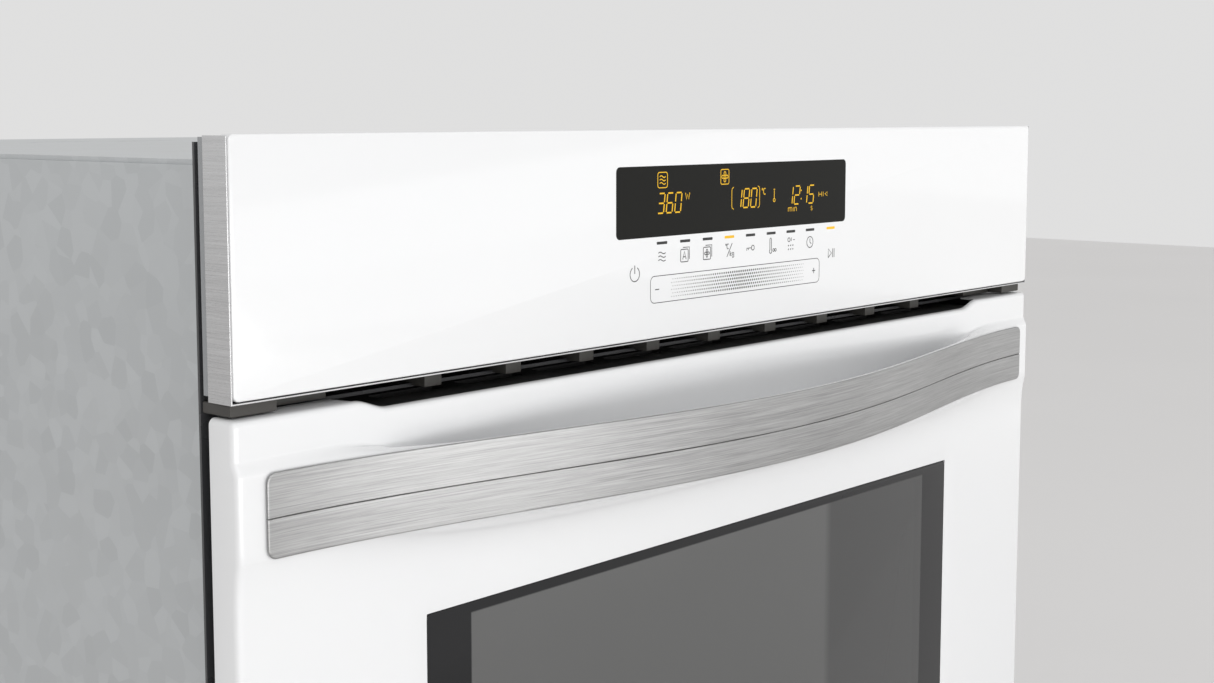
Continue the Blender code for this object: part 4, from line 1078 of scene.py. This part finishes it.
def makeWindowGlass():
    # a dark printed border round a slightly see-through middle whose lighter colour is painted light,
    # growing lighter towards the top, with a painted shaded band right of shadeX
    material, tree, shader, place = startMaterial("windowGlass", {"Specular IOR Level": 0.16})
    split = addNode(tree, "ShaderNodeSeparateXYZ")
    tree.links.new(place, split.inputs[0])
    soft = 0.35 * mm
    half = pane["clearHalf"] * mm
    across = inZone(tree, split.outputs["X"], -half, half, soft)
    up = inZone(tree, split.outputs["Z"], pane["clearZ"][0] * mm, pane["clearZ"][1] * mm, soft)
    clear = mathNode(tree, "MULTIPLY", across, up)
    fine = placeGroup(tree, grainGroup, place, Size=60.0)
    border = mixColour(tree, fine.outputs["Tone"], (0.016, 0.016, 0.017), (0.022, 0.022, 0.023))
    # painted light: the clear middle grows lighter towards the top of the window
    height = ramp(tree, split.outputs["Z"], 0.1, 0.4)
    middle = mixColour(tree, height, (0.110, 0.110, 0.109), (0.142, 0.142, 0.141))
    # painted shade: the clear middle is darker right of shadeX
    shaded = ramp(tree, split.outputs["X"], pane["shadeX"] * mm - 0.003, pane["shadeX"] * mm + 0.003)
    middle = mixColour(tree, shaded, middle, (0.088, 0.088, 0.088))
    tree.links.new(mixColour(tree, clear, border, middle), shader.inputs["Base Color"])
    tree.links.new(ramp(tree, fine.outputs["Smear"], 0.3, 0.7, 0.08, 0.14), shader.inputs["Roughness"])
    tree.links.new(ramp(tree, clear, 0.0, 1.0, 1.0, 0.86), shader.inputs["Alpha"])
    half = pane["half"]
    glass = softPlate("doorWindow", (-half, half), pane["ys"], pane["zs"], 3.0, 0.5)
    give(glass, material, "door", ["door_outer_glass"])


makeWindowGlass()
print("door glass made")


# ---- finishes for the parts that keep their shape ----
def sheetFinish(name, colour, shade, roughness):
    # zinc-coated sheet with large soft crystals
    material, tree, shader, place = startMaterial(name, {"Metallic": 0.85})
    cells = addNode(tree, "ShaderNodeTexVoronoi")
    cells.inputs["Scale"].default_value = 110.0
    tree.links.new(place, cells.inputs["Vector"])
    split = addNode(tree, "ShaderNodeSeparateXYZ")
    tree.links.new(cells.outputs["Color"], split.inputs[0])
    fine = placeGroup(tree, grainGroup, place, Size=500.0)
    tone = mathNode(
        tree, "ADD", mathNode(tree, "MULTIPLY", split.outputs["X"], 0.5),
        mathNode(tree, "MULTIPLY", fine.outputs["Tone"], 0.5),
    )
    dusty = placeGroup(tree, dustGroup, place, Amount=0.25)
    base = mixColour(tree, tone, colour, shade)
    tree.links.new(
        mixColour(tree, dusty.outputs["Mask"], base, (0.5, 0.49, 0.47)), shader.inputs["Base Color"]
    )
    tree.links.new(ramp(tree, tone, 0.2, 0.8, *roughness), shader.inputs["Roughness"])
    addBump(tree, shader, fine.outputs["Height"], 0.08, 0.0002)
    return material


def speckled(name, colour, speck):
    # fired enamel with pale specks
    material, tree, shader, place = startMaterial(name, {"Coat Weight": 0.3, "Coat Roughness": 0.15})
    dots = addNode(tree, "ShaderNodeTexVoronoi")
    dots.inputs["Scale"].default_value = 420.0
    tree.links.new(place, dots.inputs["Vector"])
    mask = ramp(tree, dots.outputs["Distance"], 0.12, 0.2, 1.0, 0.0)
    thin = ramp(tree, noise(tree, place, 300.0, 2.0), 0.5, 0.6)
    fine = placeGroup(tree, grainGroup, place, Size=350.0)
    tree.links.new(
        mixColour(tree, mathNode(tree, "MULTIPLY", mask, thin), colour, speck),
        shader.inputs["Base Color"],
    )
    tree.links.new(ramp(tree, fine.outputs["Smear"], 0.3, 0.7, 0.18, 0.3), shader.inputs["Roughness"])
    addBump(tree, shader, fine.outputs["Height"], 0.12, 0.0004)
    return material


def woven(name, colour, shade, scale):
    # fibres: crossed fine waves with a coarse tangle
    material, tree, shader, place = startMaterial(name, {"Roughness": 0.9})
    thread = addNode(tree, "ShaderNodeTexWave")
    thread.inputs["Scale"].default_value = scale
    thread.inputs["Distortion"].default_value = 6.0
    thread.inputs["Detail"].default_value = 3.0
    tree.links.new(place, thread.inputs["Vector"])
    tangle = noise(tree, place, scale * 0.6, 6.0, 0.7)
    mixed = mathNode(tree, "MULTIPLY", thread.outputs["Fac"], tangle)
    tree.links.new(mixColour(tree, ramp(tree, mixed, 0.1, 0.5), shade, colour), shader.inputs["Base Color"])
    addBump(tree, shader, mixed, 0.6, 0.001)
    return material


finishes = {
    "white_enamel": whiteEnamel,
    "white_glass": whiteGlass,
    "brushed_steel": brushedSteel,
    "aluminium_trim": makeBrushedSteel(
        "satinTrim", (0.58, 0.58, 0.585), (0.74, 0.74, 0.745), 0.22, 0.34, 0.15
    ),
    "zinc_sheet": sheetFinish("zincSheet", (0.52, 0.54, 0.55), (0.66, 0.68, 0.69), (0.34, 0.5)),
    "dark_enamel": plainFinish(
        "darkEnamel", (0.040, 0.041, 0.044), (0.050, 0.051, 0.054), (0.24, 0.34), **{"Coat Weight": 0.3}
    ),
    "cavity_enamel": speckled("cavityEnamel", (0.060, 0.064, 0.072), (0.30, 0.31, 0.33)),
    "dark_plastic": plainFinish(
        "darkPlastic", (0.045, 0.042, 0.038), (0.055, 0.052, 0.047), (0.45, 0.6), grain=1400.0, bump=0.3
    ),
    "black_plastic": plainFinish(
        "blackPlastic", (0.014, 0.014, 0.015), (0.02, 0.02, 0.021), (0.4, 0.55), grain=1400.0, bump=0.3
    ),
    "grey_plastic": plainFinish(
        "greyPlastic", (0.30, 0.31, 0.32), (0.36, 0.37, 0.38), (0.4, 0.55), grain=1200.0, bump=0.3
    ),
    "tinted_glass": plainFinish(
        "innerGlass", (0.020, 0.021, 0.023), (0.026, 0.027, 0.029), (0.05, 0.1), bump=0.0
    ),
    "clear_glass": plainFinish(
        "lensGlass", (0.70, 0.75, 0.74), (0.64, 0.69, 0.68), (0.03, 0.08), bump=0.05,
        **{"Transmission Weight": 0.9},
    ),
    "chrome_wire": plainFinish(
        "chromeWire", (0.72, 0.73, 0.75), (0.62, 0.62, 0.63), (0.1, 0.22), metallic=1.0, grain=600.0
    ),
    "heater_steel": plainFinish(
        "heaterSteel", (0.20, 0.20, 0.21), (0.12, 0.10, 0.09), (0.35, 0.5), metallic=1.0, grain=500.0,
        bump=0.3,
    ),
    "mineral_wool": woven("mineralWool", (0.70, 0.64, 0.46), (0.48, 0.42, 0.28), 240.0),
    "seal_cord": woven("sealCord", (0.20, 0.20, 0.21), (0.09, 0.09, 0.10), 900.0),
    "ceramic": plainFinish(
        "ceramic", (0.72, 0.70, 0.66), (0.64, 0.62, 0.57), (0.4, 0.6), grain=700.0, bump=0.2
    ),
    "board_green": plainFinish(
        "boardGreen", (0.03, 0.17, 0.07), (0.045, 0.22, 0.10), (0.3, 0.45), grain=500.0, bump=0.2
    ),
    "cast_aluminium": plainFinish(
        "castAluminium", (0.56, 0.57, 0.58), (0.66, 0.67, 0.68), (0.35, 0.5), metallic=1.0, grain=450.0,
        bump=0.5,
    ),
}
for subpart in frame["record"]["subparts"]:
    node = nodes[subpart["node"]]
    node.data.materials.clear()
    node.data.materials.append(finishes[subpart["material_slot"]])
    if len(node.data.polygons):
        node.data.polygons.foreach_set("material_index", [0] * len(node.data.polygons))
print("finishes placed")

# painted shade: the air duct is zinc sheet in model.json but gets black plastic so the slot behind the
# outlet ribs looks dark
nodes["air_duct"].data.materials[0] = finishes["black_plastic"]
slots = {subpart["node"]: subpart["material_slot"] for subpart in frame["record"]["subparts"]}
members = frame["record"]["behaviour"]["bodies"]
bodies = {node: body for body, names in members.items() for node in names}


# ---- folded and moulded parts with softened edges ----
softEdges = {
    "side_panel_left": 0.3,
    "side_panel_right": 0.3,
    "top_cover": 0.3,
    "rear_cover": 0.3,
    "panel_trim": 0.12,
    "outlet_cheek_left": 0.4,
    "outlet_cheek_right": 0.4,
    "fan_cover": 0.3,
    "terminal_block": 0.6,
    "hinge_body_left": 0.3,
    "hinge_body_right": 0.3,
    "hinge_arm_left": 0.4,
    "hinge_arm_right": 0.4,
    "door_inner_glass": 0.5,
    "door_inner_frame": 0.25,
}


def camel(name):
    first, *rest = name.split("_")
    return first + "".join(word.capitalize() for word in rest)


def soften(node, edge):
    source = nodes[node]
    obj = source.copy()
    obj.data = source.data.copy()
    obj.parent = None
    for key in list(obj.keys()):
        del obj[key]
    bpy.context.scene.collection.objects.link(obj)
    activate(obj)
    bpy.ops.object.mode_set(mode="EDIT")
    bpy.ops.mesh.select_all(action="SELECT")
    bpy.ops.mesh.remove_doubles(threshold=1e-6)
    bpy.ops.mesh.dissolve_limited(angle_limit=math.radians(0.5))
    bpy.ops.mesh.customdata_custom_splitnormals_clear()
    bpy.ops.object.mode_set(mode="OBJECT")
    bevelEdges(obj, edge, 2, 40)
    smoothShade(obj, 35)
    applyModifier(obj, "WEIGHTED_NORMAL", keep_sharp=True, weight=80)
    settle(obj, camel(node) + "Soft")
    give(obj, finishes[slots[node]], bodies[node], [node])


for node, edge in softEdges.items():
    soften(node, edge)
print("softened parts made")


# ---- wire racks, shelf, tray and seal ----
cavity = {
    "rungX": 217.0,
    "uprightX": 221.0,
    "uprightYs": (-185.0, 118.0),
    "rungYs": (-196.0, 130.0),
    "levels": (130.0, 185.0, 240.0, 295.0, 350.0),
    "wire": 2.2,
    "mountX": 224.5,
    "mountZs": (110.0, 375.0),
    "rackZs": (95.0, 390.0),
    "shelfZ": 300.0,
    "shelfHalf": 213.5,
    "shelfYs": (-205.0, 138.0),
    "shelfWire": 2.5,
    "shelfFine": 1.4,
    "shelfWires": 13,
    "shelfCorner": 10.0,
    "shelfCross": 1.5,
    "trayZ": 188.7,
}


def scaled(points):
    return [tuple(v * mm for v in point) for point in points]


def makeRacks():
    for side in (-1, 1):
        x, out = side * cavity["rungX"], side * cavity["uprightX"]
        low, high = cavity["rackZs"]
        paths = [[(out, y, low), (out, y, high)] for y in cavity["uprightYs"]]
        first, last = cavity["rungYs"]
        for z in cavity["levels"]:
            bend = [(out, first + 1.0, z), (x + side * 1.2, first + 0.3, z), (x, first + 2.5, z)]
            end = [(x, last - 2.5, z), (x + side * 1.2, last - 0.3, z), (out, last - 1.0, z)]
            paths.append(bend + end)
        for y in cavity["uprightYs"]:
            paths += [[(out, y, z), (side * cavity["mountX"], y, z)] for z in cavity["mountZs"]]
        hand = "left" if side < 0 else "right"
        obj = wire("rack" + hand.capitalize(), [scaled(path) for path in paths], cavity["wire"] * mm)
        node = "side_rack_" + hand
        give(obj, finishes["chrome_wire"], "housing", [node])


def makeShelf():
    half, z = cavity["shelfHalf"], cavity["shelfZ"]
    front, back = cavity["shelfYs"]
    middle, reach, corner = (front + back) / 2, (back - front) / 2, cavity["shelfCorner"]
    loop = []
    for cx, cy, start in ((half, reach, 0), (-half, reach, 90), (-half, -reach, 180), (half, -reach, 270)):
        ax = cx - math.copysign(corner, cx)
        ay = cy - math.copysign(corner, cy)
        loop += [(a, middle + b, z) for a, b in arc(ax, ay, corner, start, start + 90, 6)]
    ring = wire("shelfRing", [scaled(loop)], cavity["shelfWire"] * mm, closed=True)
    count = cavity["shelfWires"]
    paths = []
    for k in range(count):
        x = -half + 2 * half * (k + 1) / (count + 1)
        paths.append([(x, front + 0.6, z), (x, back - 0.6, z)])
    fine = wire("shelfWires", [scaled(path) for path in paths], cavity["shelfFine"] * mm)
    across = scaled([(-half, middle, z - 1.0), (half, middle, z - 1.0)])
    cross = wire("shelfCross", [across], cavity["shelfCross"] * mm)
    shelf = joinPieces([ring, fine, cross], "wireShelf")
    give(shelf, finishes["chrome_wire"], "shelf", ["wire_shelf"])


def trayRing(half, inset, z, corner):
    front, back = cavity["shelfYs"][0] + inset, cavity["shelfYs"][1] - inset
    points = []
    for cx, cy, start in ((half, back, 0), (-half, back, 90), (-half, front, 180), (half, front, 270)):
        ax = cx - math.copysign(corner, cx)
        ay = cy - corner if cy == back else cy + corner
        points += [(a * mm, b * mm, z * mm) for a, b in arc(ax, ay, corner, start, start + 90, 8)]
    return points


def makeTray():
    top = cavity["trayZ"]
    profile = [(216.0, -0.9, 14.0), (215.6, -0.1, 13.8), (214.6, 0.0, 13.5), (210.4, 0.0, 12.4)]
    profile += [(208.8, -0.8, 12.0), (208.2, -2.6, 11.8), (204.2, -24.0, 10.4), (203.2, -27.2, 10.0)]
    profile += [(201.0, -29.0, 9.0), (198.0, -29.5, 8.0)]
    shape = bmesh.new()
    rings = []
    for half, drop, corner in profile:
        rings.append([shape.verts.new(place) for place in trayRing(half, 216.0 - half, top + drop, corner)])
    count = len(rings[0])
    for first, second in zip(rings, rings[1:]):
        for k in range(count):
            after = (k + 1) % count
            shape.faces.new((first[k], first[after], second[after], second[k]))
    shape.faces.new(rings[-1])
    bmesh.ops.recalc_face_normals(shape, faces=shape.faces)
    mesh = bpy.data.meshes.new("bakingTray")
    shape.to_mesh(mesh)
    shape.free()
    obj = bpy.data.objects.new("bakingTray", mesh)
    bpy.context.scene.collection.objects.link(obj)
    if obj.data.polygons[-1].normal.z < 0:
        obj.data.flip_normals()
    applyModifier(obj, "SOLIDIFY", thickness=1.0 * mm, offset=-1.0)
    smoothShade(obj, 45)
    settle(obj, "bakingTray")
    give(obj, finishes["dark_enamel"], "tray", ["baking_tray"])


seal = {
    "half": 232.5,
    "zs": (67.5, 422.5),
    "corner": 14.0,
    "y": -223.5,
    "radius": 1.2,
}


def makeSeal():
    half, corner = seal["half"], seal["corner"]
    low, high = seal["zs"]
    loop = []
    for cx, cz, start in ((half, high, 0), (-half, high, 90), (-half, low, 180), (half, low, 270)):
        ax = cx - math.copysign(corner, cx)
        az = cz - corner if cz == high else cz + corner
        loop += [(a, seal["y"], b) for a, b in arc(ax, az, corner, start, start + 90, 10)]
    obj = wire("doorSeal", [scaled(loop)], seal["radius"] * mm, closed=True)
    give(obj, finishes["seal_cord"], "housing", ["door_seal"])


makeRacks()
makeShelf()
makeTray()
makeSeal()
print("cavity fittings made")


# ---- screws in the housing ----
screws = {
    "head": 4.2,
    "rise": 1.9,
    "round": 0.9,
    "cross": 2.4,
    "crossWide": 0.8,
    "crossDeep": 1.1,
    "sideX": 280.0,
    "sideYs": (-228.0, 290.0),
    "sideZs": (28.0, 300.0, 560.0),
    "topX": 262.0,
    "topYs": (-225.0, 30.0, 285.0),
    "topZ": 585.0,
}


def makeScrew():
    # one pan-head screw that points along +Z, with a cross recess
    deselectAll()
    bpy.ops.mesh.primitive_cylinder_add(vertices=28, radius=screws["head"] * mm, depth=screws["rise"] * mm)
    head = bpy.context.object
    head.location.z = screws["rise"] * mm / 2
    settle(head, "screw")
    bevelEdges(head, screws["round"], 3, 40)
    reach, wide = screws["cross"] * mm, screws["crossWide"] * mm / 2
    top, low = (screws["rise"] + 1) * mm, (screws["rise"] - screws["crossDeep"]) * mm
    cross = [((-reach, -wide), (reach, wide))]
    cross += [((-wide, -reach), (wide, -wide)), ((-wide, wide), (wide, reach))]
    for near, far in cross:
        arm = roundedBox("crossArm", (*near, low), (*far, top))
        applyModifier(head, "BOOLEAN", operation="DIFFERENCE", object=arm)
        bpy.data.objects.remove(arm)
    smoothShade(head, 35)
    return head


def placeScrews():
    first = makeScrew()
    spots = []
    for side in (-1, 1):
        turn = (0, side * math.pi / 2, 0)
        for y in screws["sideYs"]:
            spots += [((side * screws["sideX"], y, z), turn) for z in screws["sideZs"]]
        spots += [((side * screws["topX"], y, screws["topZ"]), (0, 0, 0)) for y in screws["topYs"]]
    copies = []
    for place, turn in spots:
        copy = first.copy()
        copy.data = first.data.copy()
        bpy.context.scene.collection.objects.link(copy)
        copy.location = Vector(place) * mm
        copy.rotation_euler = turn
        copies.append(settle(copy, "screwHead"))
    bpy.data.objects.remove(first)
    heads = joinPieces(copies, "housingScrews")
    give(heads, finishes["chrome_wire"], "housing")


placeScrews()
print("screws made")


# ---- stage, lights and camera ----
stageLook = {
    "floor": (0.80, 0.79, 0.785),
    "world": (0.93, 0.928, 0.926),
    "worldStrength": 0.80,
    "keyPower": 11.0,
    "fillPower": 5.0,
    "lowPower": 15.0,
}


def makeStage():
    deselectAll()
    bpy.ops.mesh.primitive_plane_add(size=1, location=(0, 0, -0.0005), scale=(1, 1, 1))
    floor = bpy.context.object
    floor.scale = (14, 14, 1)
    settle(floor, "stageFloor")
    material, tree, shader, place = startMaterial("stageFloorPaint", {"Roughness": 0.6})
    tone = ramp(tree, noise(tree, place, 1.5, 3.0), 0.3, 0.7)
    shade = tuple(0.985 * v for v in stageLook["floor"])
    tree.links.new(mixColour(tree, tone, stageLook["floor"], shade), shader.inputs["Base Color"])
    floor.data.materials.append(material)
    world = bpy.data.worlds.new("softRoom")
    world.use_nodes = True
    background = world.node_tree.nodes["Background"]
    background.inputs["Color"].default_value = (*stageLook["world"], 1.0)
    background.inputs["Strength"].default_value = stageLook["worldStrength"]
    bpy.context.scene.world = world


def addAreaLight(name, place, aim, size, power, colour=(1.0, 1.0, 1.0)):
    data = bpy.data.lights.new(name, "AREA")
    data.shape = "RECTANGLE"
    data.size, data.size_y = size
    data.energy = power
    data.color = colour
    light = bpy.data.objects.new(name, data)
    bpy.context.scene.collection.objects.link(light)
    light.location = place
    light.rotation_euler = (Vector(aim) - Vector(place)).to_track_quat("-Z", "Y").to_euler()
    return light


view = {
    "place": (-0.6614, -0.7567, 0.6018),
    "heading": 48.975,
    "down": 5.969,
    "lens": 50.68,
    "shift": -0.04,
}


def makeCamera():
    data = bpy.data.cameras.new("frontCamera")
    data.lens = view["lens"]
    data.sensor_width = 36.0
    data.shift_y = view["shift"]
    data.clip_start = 0.01
    camera = bpy.data.objects.new("frontCamera", data)
    bpy.context.scene.collection.objects.link(camera)
    camera.location = view["place"]
    heading, down = math.radians(view["heading"]), math.radians(view["down"])
    camera.rotation_euler = (math.pi / 2 - down, 0.0, -heading)
    bpy.context.scene.camera = camera


makeStage()
addAreaLight("keyLight", (-0.9, -2.4, 1.9), (0.0, -0.2, 0.4), (2.4, 1.8), stageLook["keyPower"])
addAreaLight("lowLight", (-0.5, -2.1, 0.22), (0.0, -0.27, 0.42), (2.6, 0.6), stageLook["lowPower"])
addAreaLight("fillLight", (1.9, -1.9, 0.3), (0.0, -0.27, 0.45), (3.6, 1.0), stageLook["fillPower"])
makeCamera()
bpy.context.scene.view_settings.view_transform = "Standard"
print("stage made")
